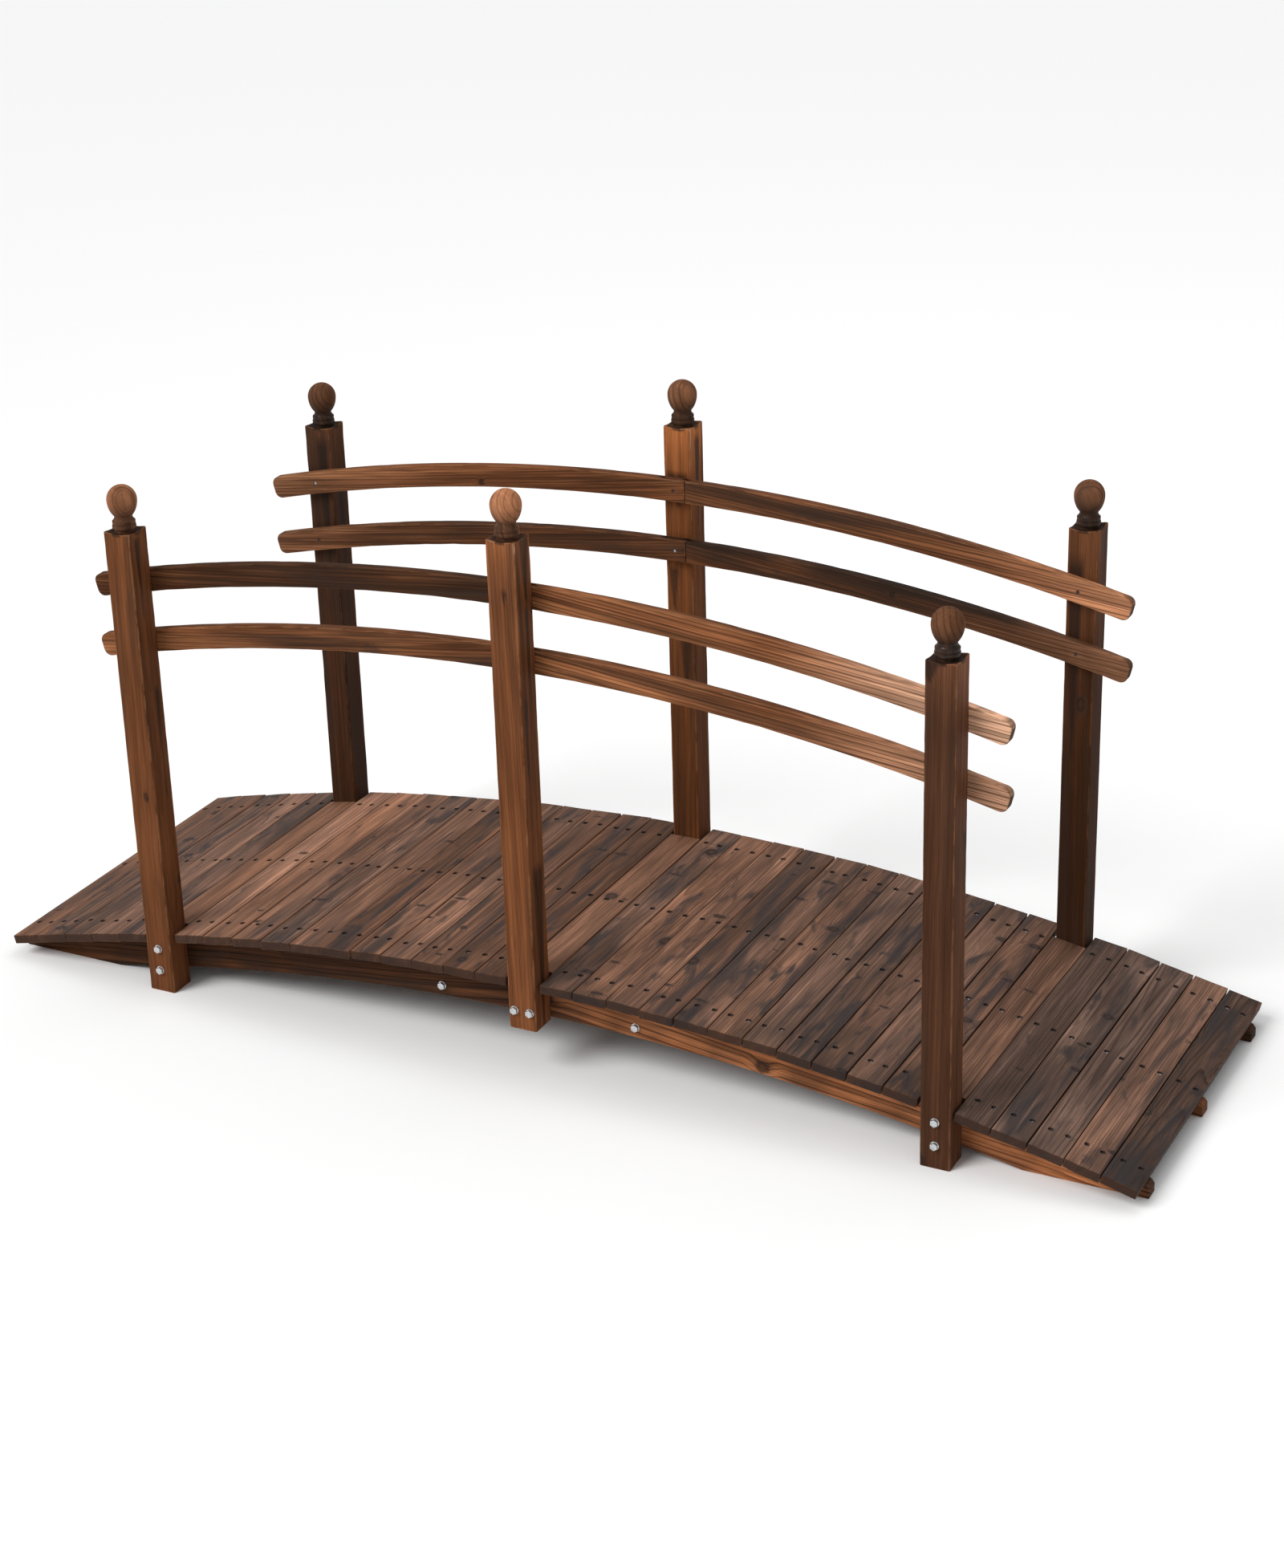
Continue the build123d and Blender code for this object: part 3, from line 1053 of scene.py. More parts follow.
# Brightness of the first and last board of a row, burnt share, greyness, and how black the front ends are
DECK_TONES = {
    "left_end_boards": (1.06, 1.10, 0.50, 0.16, 0.2),
    "left_post_board": (0.90, 0.90, 0.16, 0.06, 0.0),
    "left_bay_boards": (1.48, 0.66, 0.50, 0.10, 0.3),
    "middle_post_board": (0.92, 0.92, 0.16, 0.06, 0.0),
    "right_bay_boards": (1.20, 0.88, 0.53, 0.22, 0.75),
    "right_post_board": (0.66, 0.66, 0.22, 0.20, 0.0),
    "right_end_boards": (0.66, 1.22, 0.56, 0.34, 0.35),
}
END_BOARD_TINT = Vector((0.46, 0.60, 0.34))

# How brightness, burnt share, greyness and figure play from board to board, and less between the posts
BOARD_PLAY = (0.12, 0.15, 0.14)
POST_BOARD_PLAY = 0.3
BOARD_FIGURES = (0.6, 1.5)
POST_BOARD_FIGURE = 0.6
BOARD_DRIFT = 0.16

# Pith of a board from its middle: along it, aside of it, and over or under it; and how its grain leans
PITH_ALONG = (0, 40)
FLAT_SAWN_ASIDE = (0, 0.03)
QUARTER_SAWN_ASIDE = (0.06, 0.13)
PITH_DEPTH = (0.015, 0.05)
BOARD_LEAN = 0.03
SIDE_LEAN = 0.4

# Pale rim of a seat: which way it looks, how near the rim and how deep it lies, how pale and how wide it is
PALE_RIM_TURNS = (-2.2, 0.6)
PALE_RIM_WIDTH = 0.12
PALE_RIM_DEPTH = 0.5
PALE_RIM_PALENESS = 1.6
PALE_RIM_SPREAD = 0.45

# How far a seat's painted shade reaches, where its wall begins, how dark the painted shade on its rim is, and
# the patches of a burnt end
SEAT_SHADE_REACH = 1.01
WALL_START = 0.2
SEAT_RIM_SHADE = 0.7
END_PATCHES = Patches(26.0, 9.0, 3.1, 0.6, 1.4, 1.0)

# Waves along a sawn edge, and how far a board lies askew, as shares of its play
EDGE_WAVES = 6.0
EDGE_WAVE_STEP = 3.7
SIDE_SHIFT = 0.4
END_SHIFT = 0.5
BOARD_SEEDS = 1000


def is_post_board(index):
    """Whether a board lies between two posts."""
    return index % BOARDS_PER_BAY == 0


def board_tint(node, index, rng):
    """Tones of a board: plain between the posts, and burnt dark at the right end."""
    first, last, scorch, fade, _ = DECK_TONES[node]
    row = DECK_ROWS[node]
    tone = first + (last - first) * (index - row[0]) / max(1, row[-1] - row[0])
    held = POST_BOARD_PLAY if is_post_board(index) else 1.0
    tint = pick_tint(rng, (tone, scorch, fade), [play * held for play in BOARD_PLAY])
    return END_BOARD_TINT if index == BOARDS_FROM_CROWN else tint


def screw_rows(long, deck):
    """Where screw rows cross a board: all three stringers, or the middle one between the posts."""
    row = extent_of("left_bay_boards").y / 2 - deck.row_inset
    return (-row, 0.0, row) if long > 2 * row + deck.row_inset else (0.0,)


def screw_seats(rows, deck, rng):
    """Places of a board's screws, each a little astray."""
    def stray():
        return rng.uniform(-deck.screw_scatter, deck.screw_scatter)
    return [
        Vector((side * deck.screw_spread / 2 + stray(), y + stray(), board_thickness / 2))
        for y in rows for side in (-1, 1)
    ]


def cut_board(long, wide, deck, rng):
    """A sawn board on its own axes, with eased edges and its screws sunk in."""
    bm = bmesh.new()
    bmesh.ops.create_cube(bm, size=1.0)
    bmesh.ops.scale(bm, vec=(wide, long, board_thickness), verts=bm.verts)
    round_edges(bm, bm.edges[:], deck.edge_ease)
    rows = screw_rows(long, deck)
    seats = screw_seats(rows, deck, rng)
    for y in rows:
        for side in (-1, 1):
            cut(bm, (0, y + side * (deck.pad + deck.screw_scatter), 0), (0, 1, 0))
    for side in (-1, 0, 1):
        cut(bm, (side * (deck.screw_spread / 2 + deck.pad + deck.screw_scatter), 0, 0), (1, 0, 0))
    for count in range(1, deck.lengths):
        cut(bm, (0, (count / deck.lengths - 0.5) * long, 0), (0, 1, 0))
    bm.faces.ensure_lookup_table()
    for seat in seats:
        face = face_at(bm, seat, Vector((0, 0, 1)), deck.pad + 2 * deck.screw_scatter)
        sink_screw(bm, face, seat, deck.seat_radius, deck.seat_depth)
    return bm, seats


def board_pith(flat_sawn, rng):
    """Where the pith of a board's log lies from the board's middle."""
    aside = rng.uniform(*(FLAT_SAWN_ASIDE if flat_sawn else QUARTER_SAWN_ASIDE))
    along = rng.uniform(*PITH_ALONG)
    return Vector((along, random_sign(rng) * aside, random_sign(rng) * rng.uniform(*PITH_DEPTH)))


def seat_pale_rims(seats, deck, rng):
    """A pale crescent on one side of the rim of some drilled seats, all towards much the same side."""
    # Seats that get the pale crescent, each with the way it looks
    torn = [(seat, rng.uniform(*PALE_RIM_TURNS)) for seat in seats if rng.random() < deck.pale_rim_share]
    top = board_thickness / 2

    def bleach_of(co):
        for seat, turn in torn:
            spoke = (co - seat).xy
            on_rim = abs(spoke.length - deck.seat_radius) < PALE_RIM_WIDTH * deck.seat_radius
            if on_rim and top - co.z < PALE_RIM_DEPTH * deck.seat_depth:
                towards = spoke.normalized().dot(Vector((math.cos(turn), math.sin(turn))))
                return max(0.0, PALE_RIM_PALENESS * (towards - PALE_RIM_SPREAD))
        return 0.0
    return bleach_of


def board_char_and_seat_shade(seats, deck, half, most, index, co):
    """Painted shade, dark in the drilled seats as in a recess, and on some boards burnt at the front end."""
    # The drilled seats are painted dark on their walls and round their rims: painted shade of the recess,
    # carried in the char attribute
    in_seat = min((co - seat).xy.length for seat in seats) < deck.seat_radius * SEAT_SHADE_REACH
    on_wall = board_thickness / 2 - co.z > deck.seat_depth * WALL_START
    seat = (1.0 if on_wall else SEAT_RIM_SHADE) if in_seat else 0.0
    burnt = most * patch_at(co, END_PATCHES, index)
    return max(seat, burnt * fading(co.y + half.x, deck.burnt_end))


def warp_board(bm, half, deck, index, rng):
    """Cup and twist a board a little, and let its sawn edges wander."""
    cup = rng.uniform(-deck.cup, deck.cup)
    twist = rng.uniform(-deck.twist, deck.twist)
    for vert in bm.verts:
        across = vert.co.x / half.y
        along = vert.co.y / half.x
        vert.co.z += cup * (across * across - 0.5) + twist * across * along
        wave = noise.noise(Vector((along * EDGE_WAVES, across, index * EDGE_WAVE_STEP)))
        vert.co.x += deck.wave * wave * across


def paint_board(bm, node, index, half, seats, deck, rng):
    """Give a board its grain and tones, and its own wood at the right end."""
    at_end = index == BOARDS_FROM_CROWN
    pith = board_pith(rng.random() < deck.flat_sawn or at_end, rng)
    lean = rng.uniform(-BOARD_LEAN, BOARD_LEAN)
    figure = rng.uniform(*BOARD_FIGURES) * (POST_BOARD_FIGURE if is_post_board(index) else 1.0)

    def grain_of(co):
        return pith + Vector((co.y, co.x + SIDE_LEAN * lean * co.y, co.z + lean * co.y))

    paint_wood(
        bm, place=lambda co: Vector((co.y, co.x, co.z)), half_size=half, grain=grain_of, figure=figure,
        tint=drifting(board_tint(node, index, rng), lambda co: co.y, BOARD_DRIFT, index),
        char=partial(board_char_and_seat_shade, seats, deck, half, DECK_TONES[node][-1], index),
        bleach=seat_pale_rims(seats, deck, rng),
    )
    if at_end:
        for face in bm.faces:
            face.material_index = face.material_index or KNOTTY_SLOT


def lay_board(node, index, long, deck):
    """A board with its tones and small faults, in its place on the arch."""
    rng = random.Random(deck.seed * BOARD_SEEDS + index)
    wide = board_width + rng.uniform(-deck.width_play, deck.width_play)
    long -= rng.uniform(0, deck.end_play)
    half = Vector((long / 2, wide / 2, board_thickness / 2))
    bm, seats = cut_board(long, wide, deck, rng)
    paint_board(bm, node, index, half, seats, deck, rng)
    warp_board(bm, half, deck, index, rng)
    aside = rng.uniform(-SIDE_SHIFT, SIDE_SHIFT) * deck.width_play
    along = rng.uniform(-END_SHIFT, END_SHIFT) * deck.end_play
    place = (
        Matrix.Translation(deck_centre) @ Matrix.Rotation(index * board_pitch, 4, "Y")
        @ Matrix.Translation((0, 0, deck_radius)) @ Matrix.Translation((aside, along, 0))
    )
    bmesh.ops.transform(bm, matrix=place, verts=bm.verts)
    return bm


class BRIDGE_OT_deck_boards(Operator):
    """Lay the deck boards, with their screws sunk in"""

    bl_idname = "bridge.deck_boards"
    bl_label = "Deck boards"

    def execute(self, context):
        settings = context.scene.garden_bridge
        finish = settings.finish
        materials = (wood("deck_fir", finish), screw_metal(finish), wood("knotty_fir", finish))
        for node, row in DECK_ROWS.items():
            long = extent_of(node).y
            bm = bmesh.new()
            for index in row:
                merge_into(bm, lay_board(node, index, long, settings.deck))
            finish_piece(bm, f"sawn_{node}", materials, [node])
        return {"FINISHED"}


# Arched pieces

# Pith of a curved plank from its middle: aside of it, and over it as a share of that; and its grain's drift
PLANK_PITH_ASIDE = (0.04, 0.08)
PLANK_PITH_SHARE = (0.7, 1.3)
PLANK_LEAN = 0.02
EDGE_FIGURE = 0.3


def arch_point(centre, radius, turn):
    """A point on an arc about the Y axis, turned from the crown towards +X."""
    return centre + Vector((radius * math.sin(turn), 0, radius * math.cos(turn)))


class Arch:
    """A curved plank's middle line, its depth, and the turns from the crown between which it runs."""

    def __init__(self, centre, radius, depth, span):
        self.centre = centre
        self.radius = radius
        self.depth = depth
        self.start, self.stop = span

    def point(self, turn):
        """A point of the middle line."""
        return arch_point(self.centre, self.radius, turn)

    def above(self, co):
        """How far a point lies outside the middle line."""
        return (co - self.centre).xz.length - self.radius


def arched_band(centre, inner, outer, stations, steps):
    """A flat band in the X-Z plane, spun about its centre from station to station."""
    bm = bmesh.new()
    low = bm.verts.new(arch_point(centre, inner, stations[0]))
    high = bm.verts.new(arch_point(centre, outer, stations[0]))
    front = [low, high, bm.edges.new((low, high))]
    for start, stop, count in zip(stations, stations[1:], steps):
        spun = bmesh.ops.spin(
            bm, geom=front, cent=centre, axis=(0, 1, 0), angle=stop - start, steps=count, use_duplicate=False
        )
        front = spun["geom_last"]
    return bm


def thicken(bm, faces, travel):
    """Extrude faces along Y, and give back the faces at the new side."""
    grown = bmesh.ops.extrude_face_region(bm, geom=faces)["geom"]
    moved = [part for part in grown if isinstance(part, bmesh.types.BMVert)]
    bmesh.ops.translate(bm, vec=(0, travel, 0), verts=moved)
    return [part for part in grown if isinstance(part, bmesh.types.BMFace)]


def ease_plank(bm, ease):
    """Turn a plank's faces outwards and ease its edges."""
    bmesh.ops.recalc_face_normals(bm, faces=bm.faces)
    round_edges(bm, sharp_edges(bm), ease)


def thicken_plank(bm, low, high, ease):
    """Extrude a flat outline across a node's box, and ease its edges."""
    bmesh.ops.translate(bm, vec=(0, low.y, 0), verts=bm.verts)
    thicken(bm, bm.faces[:], high.y - low.y)
    ease_plank(bm, ease)


def paint_arched(bm, arch, box, rng, figure=1.0, **tones):
    """Give an arched piece its coordinates: the grain runs straight along the plank it was cut from."""
    low, high = box
    middle_y = (low.y + high.y) / 2
    half = Vector(((arch.stop - arch.start) * arch.radius / 2, arch.depth / 2, (high.y - low.y) / 2))
    chord = arch.point(arch.stop) - arch.point(arch.start)
    lean = math.atan2(chord.z, chord.x)
    far = random_sign(rng) * rng.uniform(*PLANK_PITH_ASIDE)
    pith = Vector((rng.uniform(*PITH_ALONG), far, random_sign(rng) * far * rng.uniform(*PLANK_PITH_SHARE)))
    drift = rng.uniform(-PLANK_LEAN, PLANK_LEAN)

    def place_of(co):
        spoke = co - arch.centre
        turn = math.atan2(spoke.x, spoke.z)
        along = (turn - (arch.start + arch.stop) / 2) * arch.radius
        return Vector((along, math.hypot(spoke.x, spoke.z) - arch.radius, co.y - middle_y))

    def grain_of(co):
        along = co.x * math.cos(lean) + co.z * math.sin(lean)
        across = co.z * math.cos(lean) - co.x * math.sin(lean)
        return pith + Vector((along, across + drift * along, co.y - middle_y))

    def figure_of(co):
        _, across, through = place_of(co)
        on_edge = abs(across) / half.y > abs(through) / half.z
        return figure * (EDGE_FIGURE if on_edge else 1.0)

    paint_wood(bm, place=place_of, half_size=half, grain=grain_of, figure=figure_of, **tones)


# Stringers and splice boards

STRINGER_ROWS = ("front", "middle", "back")
STRINGER_SEED = 100
SPLICE_SEED = 200

# Brightness at the crown and at the tip, burnt share, and how black the tip is. Some brightnesses hold painted
# shade and painted light, as marked
STRINGER_TONES = {
    # The front left stringer is toned dark as painted shade
    "front_left": (0.40, 0.34, 0.5, 0.75),
    "front_right": (0.94, 2.10, 0.38, 1.10),
    # The middle and back stringers' tips lie in shade under the deck: their brighter tone is partly the wood's
    # own and partly painted light
    "middle_right": (0.75, 1.35, 0.40, 0.40),
    "back_right": (0.75, 1.20, 0.45, 1.00),
}
PLAIN_STRINGER_TONE = (0.75, 0.85, 0.5, 0.5)
STRINGER_GREYNESS = 0.05
STRINGER_DRIFT = 0.2
SPLICE_TINT = (0.95, 0.5, 0.15)
SPLICE_PLAY = (0.08, 0.08, 0.06)

# How far a burnt tip and a burnt lower edge reach, and the patches of that edge
TIP_REACH = 0.07
LOWER_EDGE_REACH = 0.006
LOWER_PATCHES = Patches(16.0, 4.0, 0.0, 0.5, 1.3, 0.9)


def stringer_tint(crown_tone_and_shade, tip_tone_light_and_shade, scorch, tip, seed, co):
    """A tone that runs from the crown to the tip, with some drift. It holds the painted shade of the front left
    stringer and the partly painted light of the middle and back stringers' tips.
    """
    run = abs(co.x) / tip
    tone = crown_tone_and_shade + (tip_tone_light_and_shade - crown_tone_and_shade) * run
    drift = 1 + STRINGER_DRIFT * slow_chance(co.x, seed)
    return Vector((tone * drift, scorch, STRINGER_GREYNESS))


def stringer_char(tip, most, underside_radius, co):
    """Burnt at the tip, and in patches along the lower edge."""
    at_tip = min(1.0, most * fading(tip - abs(co.x), TIP_REACH))
    above = (co - deck_centre).xz.length - underside_radius
    return max(at_tip, patch_at(co, LOWER_PATCHES) * fading(above, LOWER_EDGE_REACH))


def saw_stringer(node, sizes):
    """Half a stringer: a band on the deck's arch, flat on the ground, with its blunt tip's corner cut."""
    low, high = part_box(node)
    end_sign = 1 if high.x > -low.x else -1
    reach = max(high.x, -low.x)
    butt = min(abs(low.x), abs(high.x))
    inner = stringer_top_radius - sizes.depth
    far = math.asin(reach / inner)
    near = math.asin(butt / stringer_top_radius)
    bm = arched_band(deck_centre, inner, stringer_top_radius, (0.0, far), (sizes.steps,))
    cut(bm, (0, 0, low.z), (0, 0, -1), clear=True)
    cut(bm, (reach, 0, 0), (1, 0, 0), clear=True)
    cut(bm, (butt, 0, 0), (-1, 0, 0), clear=True)
    tip = max(bm.verts, key=lambda vert: vert.co.x + vert.co.z / reach)
    cut_corners(bm, [tip], sizes.tip_chamfer, 1)
    if end_sign < 0:
        bmesh.ops.scale(bm, vec=(-1, 1, 1), verts=bm.verts)
    thicken_plank(bm, low, high, sizes.edge_ease)
    span = sorted((end_sign * near, end_sign * far))
    return bm, Arch(deck_centre, stringer_top_radius - sizes.depth / 2, sizes.depth, span)


class BRIDGE_OT_stringers(Operator):
    """Saw the arched stringers"""

    bl_idname = "bridge.stringers"
    bl_label = "Stringers"

    def execute(self, context):
        settings = context.scene.garden_bridge
        sizes = settings.stringers
        fir = wood("stringer_fir", settings.finish)
        rng = random.Random(settings.finish.seed + STRINGER_SEED)
        for row in STRINGER_ROWS:
            for end in ENDS:
                node = f"{row}_stringer_{end}"
                low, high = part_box(node)
                bm, arch = saw_stringer(node, sizes)
                *tones, tip_char = STRINGER_TONES.get(f"{row}_{end}", PLAIN_STRINGER_TONE)
                tip = max(high.x, -low.x)
                paint_arched(
                    bm, arch, (low, high), rng,
                    tint=partial(stringer_tint, *tones, tip, rng.uniform(*DRIFT_SEEDS)),
                    char=partial(stringer_char, tip, tip_char, stringer_top_radius - sizes.depth),
                )
                finish_piece(bm, f"sawn_{node}", [fir], [node])
        return {"FINISHED"}


def saw_splice(node, sizes):
    """A splice board: a band within the stringers' depth, cut upright at both ends."""
    low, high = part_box(node)
    inner = stringer_top_radius - sizes.depth + sizes.splice_lift
    outer = inner + sizes.splice_depth
    far = math.asin(high.x / inner)
    bm = arched_band(deck_centre, inner, outer, (-far, far), (sizes.steps // 2,))
    for side in (-1, 1):
        cut(bm, (side * high.x, 0, 0), (side, 0, 0), clear=True)
    thicken_plank(bm, low, high, sizes.edge_ease)
    return bm, Arch(deck_centre, (inner + outer) / 2, outer - inner, (-far, far))


class BRIDGE_OT_splice_boards(Operator):
    """Saw the boards that splice the stringers under the crown"""

    bl_idname = "bridge.splice_boards"
    bl_label = "Splice boards"

    def execute(self, context):
        settings = context.scene.garden_bridge
        fir = wood("stringer_fir", settings.finish)
        rng = random.Random(settings.finish.seed + SPLICE_SEED)
        for row in STRINGER_ROWS:
            node = f"{row}_splice_board"
            bm, arch = saw_splice(node, settings.stringers)
            tint = pick_tint(rng, SPLICE_TINT, SPLICE_PLAY)
            drift = drifting(tint, lambda co: co.x, STRINGER_DRIFT, rng.uniform(*DRIFT_SEEDS))
            paint_arched(bm, arch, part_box(node), rng, tint=drift)
            finish_piece(bm, f"sawn_{node}", [fir], [node])
        return {"FINISHED"}


# Posts

POST_SEED = 300
POST_PLACES = ("left", "middle", "right")

# Outline of the head's foot and two ridges, as shares of the ridges' radius and height
BASE_TOP = 0.05
LOWER_RIDGE = ((0.95, 0.13), (1.0, 0.22), (1.0, 0.42), (0.98, 0.53))
GROOVE_HEIGHTS = (0.58, 0.63)
UPPER_RIDGE = ((0.95, 0.68), (0.97, 0.80), (0.96, 0.94), (0.91, 1.0))

# Hollow flare above the ridges: how far up to the waist, and how far out from it
FLARE = ((0.12, 0.66), (0.40, 0.34), (0.70, 0.10), (1.0, 0.0))
BALL_FOOT = 1.03
BALL_STEPS = 20

# Shaft: rounding of shoulder and foot as a share of the upright edges', and how rows crowd to the shoulder
LEVEL_EASE = 0.5
ROW_CROWDING = 1.4

# A point is on a face beyond this share of the post's side from its axis
ON_FACE = 0.47

# Splinters torn from an upright edge: which corner, how far under the shoulder it reaches, and how deep
POST_CHIPS = {
    "front_middle": ((1, -1, 0.032, 0.0026), (1, 1, 0.012, 0.0030)),
    "front_left": ((1, -1, 0.014, 0.0024),),
    "back_middle": ((1, -1, 0.040, 0.0020),),
}
CHIP_WIDTH = 1.1
CHIP_BLEACH = 0.55
CHIP_BLEACH_RISE = 2
CHIP_RISE = 3

# Dents along edges and shoulder, in cycles per metre, and how readily each sets in
DENT_SCALE = 38.0
DENT_STEP = 5.1
EDGE_DENTS = 0.2
SHOULDER_DENTS = 0.3
SHOULDER_REACH = 3

# Burnt streaks down a shaft: face, middle across the face, top and bottom under the shoulder, half width
POST_STREAKS = {
    "front_left": (("right", -0.006, 0.01, 0.16, 0.008), ("right", 0.010, 0.30, 0.52, 0.006)),
    "front_middle": (
        ("right", 0.005, -0.010, 0.108, 0.020), ("right", 0.004, 0.12, 0.25, 0.006),
        ("right", -0.012, 0.28, 0.46, 0.007), ("right", 0.002, 0.60, 0.92, 0.020),
        ("front", 0.004, 0.092, 0.118, 0.005),
    ),
    "front_right": (("front", -0.020, -0.01, 0.034, 0.026), ("right", 0.016, 0.30, 0.42, 0.008)),
    "back_middle": (
        ("front", 0.0, 0.09, 0.15, 0.024), ("front", -0.012, 0.27, 0.36, 0.012),
        ("front", 0.010, 0.40, 0.55, 0.014), ("right", 0.0, 0.02, 0.20, 0.012),
    ),
    "back_left": (("front", 0.010, 0.02, 0.30, 0.014), ("right", 0.0, 0.10, 0.45, 0.012)),
    "back_right": (("front", -0.010, 0.05, 0.42, 0.016), ("right", 0.004, 0.0, 0.22, 0.012)),
}
STREAK_TAPER = 1.15
STREAK_EDGE = 2.5
STREAK_ONSET = 12
STREAK_START = 0.3

# Char of the hollow and the streaks, the hollow's size, and how char falls off under the shoulder and
# from the neck up, where it runs on as painted shade over the ball's lower half
SHAFT_CHAR = 0.84
HOLLOW_SHARE = 0.52
SHOULDER_CHAR = 0.08
SHOULDER_CHAR_FALL = 12
NECK_CHAR_AND_SHADE_FALL = 1.05

# Brightness of the shaft, how much more at its top and how far down, its share on the right face, greyness,
# brightness of the head, burnt share, strength of figure, and how black the neck is, with painted shade on the
# ball
PostTone = namedtuple("PostTone", "shaft glow glow_length right_share grey head scorch figure neck_char")
POST_TONES = {
    "front_left": PostTone(0.84, 0.35, 0.13, 1.0, 0.06, 1.20, 0.40, 0.70, 0.72),
    "front_middle": PostTone(0.92, 1.10, 0.12, 1.0, 0.06, 1.86, 0.34, 0.80, 0.86),
    "front_right": PostTone(0.40, 0.90, 0.13, 1.7, 0.22, 0.57, 0.34, 0.45, 1.00),
    "back_left": PostTone(0.33, 0.80, 0.16, 1.0, 0.18, 0.54, 0.48, 0.50, 0.92),
    "back_middle": PostTone(0.80, 1.60, 0.19, 1.0, 0.00, 1.06, 0.42, 0.80, 0.80),
    "back_right": PostTone(0.27, 1.90, 0.30, 1.2, 0.10, 0.86, 0.46, 0.40, 0.92),
}
GLOW_FALL = 1.4
SHAFT_DRIFT = 0.22
HEAD_DRIFT = 0.1
HEAD_GREYNESS = 0.06
HEAD_BLEACH = 0.10
HEAD_FIGURE = 1.1

# Pith of a post's log from its axis, the grain's lean, and how a head's grain is scaled, turned and moved
POST_PITH_ASIDE = (0.03, 0.08)
POST_PITH_BACK = (-0.02, 0.06)
POST_LEAN = 0.02
HEAD_GRAIN_SCALE = 0.46
HEAD_TURNS = (0, 6.28)
HEAD_TIPS = (0.15, 0.5)
HEAD_PITH_ASIDE = 0.021


class PostStand:
    """Where one post stands: its axis, foot and shoulder, its number, and what its wood is like."""

    def __init__(self, node, name, number, sizes):
        low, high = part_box(node)
        self.axis = middle_of(node)
        self.foot = low.z
        self.shoulder = high.z - sizes.head_height
        self.number = number
        self.tone = POST_TONES[name]
        self.streaks = POST_STREAKS[name]
        self.chips = POST_CHIPS.get(name, ())

    def spoke(self, co):
        """A point's level distance from the axis."""
        return Vector((co.x - self.axis.x, co.y - self.axis.y, 0))


def head_outline(sizes):
    """Half outline of the turned head from under its foot up to the ball's top, as radius and height."""
    ring, top = sizes.ring_radius, sizes.ring_height
    neck, waist = sizes.neck_radius, sizes.neck_height
    sunk = -2 * sizes.dish
    points = [(0.0, sunk), (sizes.base_radius, sunk), (sizes.base_radius, BASE_TOP * top)]
    points += [(out * ring, up * top) for out, up in LOWER_RIDGE]
    points += [(ring - sizes.groove_depth, up * top) for up in GROOVE_HEIGHTS]
    points += [(out * ring, up * top) for out, up in UPPER_RIDGE]
    ridge = points[-1][0]
    points += [(neck + out * (ridge - neck), top + run * (waist - top)) for run, out in FLARE]
    start = -math.acos(BALL_FOOT * neck / sizes.ball_radius)
    for count in range(BALL_STEPS + 1):
        turn = start + (math.pi / 2 - start) * count / BALL_STEPS
        wide = 0.0 if count == BALL_STEPS else sizes.ball_radius * math.cos(turn)
        tall = sizes.ball_radius if turn > 0 else sizes.ball_drop
        points.append((wide, sizes.ball_height + tall * math.sin(turn)))
    return points


def turn_head(sizes, post):
    """The turned head, spun from its outline about the post's axis."""
    bm = bmesh.new()
    axis, shoulder = post.axis, post.shoulder
    verts = [bm.verts.new((axis.x + wide, axis.y, shoulder + high)) for wide, high in head_outline(sizes)]
    edges = [bm.edges.new(pair) for pair in zip(verts, verts[1:])]
    bmesh.ops.spin(
        bm, geom=verts + edges, cent=(axis.x, axis.y, shoulder), axis=(0, 0, 1), angle=2 * math.pi,
        steps=sizes.turns, use_merge=True, use_duplicate=False,
    )
    bmesh.ops.remove_doubles(bm, verts=bm.verts, dist=TOUCHING)
    bmesh.ops.recalc_face_normals(bm, faces=bm.faces)
    return bm


def square_shaft(sizes, post):
    """The square shaft in small facets, with eased upright edges and an eased shoulder and foot."""
    bm = bmesh.new()
    bmesh.ops.create_cube(bm, size=1.0)
    tall = post.shoulder - post.foot
    bmesh.ops.scale(bm, vec=(post_side, post_side, tall), verts=bm.verts)
    bmesh.ops.translate(bm, vec=(post.axis.x, post.axis.y, post.foot + tall / 2), verts=bm.verts)

    def rise(edge):
        return abs(edge.verts[0].co.z - edge.verts[1].co.z)

    round_edges(bm, [edge for edge in bm.edges if rise(edge) > tall / 2], sizes.edge_ease, 3)
    level = [edge for edge in sharp_edges(bm) if rise(edge) < tall / 2]
    round_edges(bm, level, sizes.edge_ease * LEVEL_EASE)
    for count in range(1, sizes.columns):
        across = (count / sizes.columns - 0.5) * post_side
        cut(bm, (post.axis.x + across, 0, 0), (1, 0, 0))
        cut(bm, (0, post.axis.y + across, 0), (0, 1, 0))
    for count in range(1, sizes.rows):
        cut(bm, (0, 0, post.shoulder - tall * (count / sizes.rows) ** ROW_CROWDING), (0, 0, 1))
    return bm


def chip_share(post, spoke, below, sizes):
    """How deep a point lies in a torn corner, and the chip's depth there."""
    for side_x, side_y, reach, depth in post.chips:
        corner = min(spoke.x * side_x, spoke.y * side_y) - (post_side / 2 - CHIP_WIDTH * sizes.edge_ease)
        if corner > 0 and below < reach:
            return 1 - below / reach, depth
    return 0.0, 0.0


def chip_bleach(post, sizes, co):
    """Bare wood in the torn corners."""
    inside, _ = chip_share(post, co - post.axis, post.shoulder - co.z, sizes)
    return CHIP_BLEACH * min(1.0, inside * CHIP_BLEACH_RISE)


def tear_corners(bm, post, sizes):
    """Pull the torn corners in."""
    for vert in bm.verts:
        spoke = post.spoke(vert.co)
        inside, depth = chip_share(post, spoke, post.shoulder - vert.co.z, sizes)
        vert.co -= spoke.normalized() * depth * min(1.0, inside * CHIP_RISE)


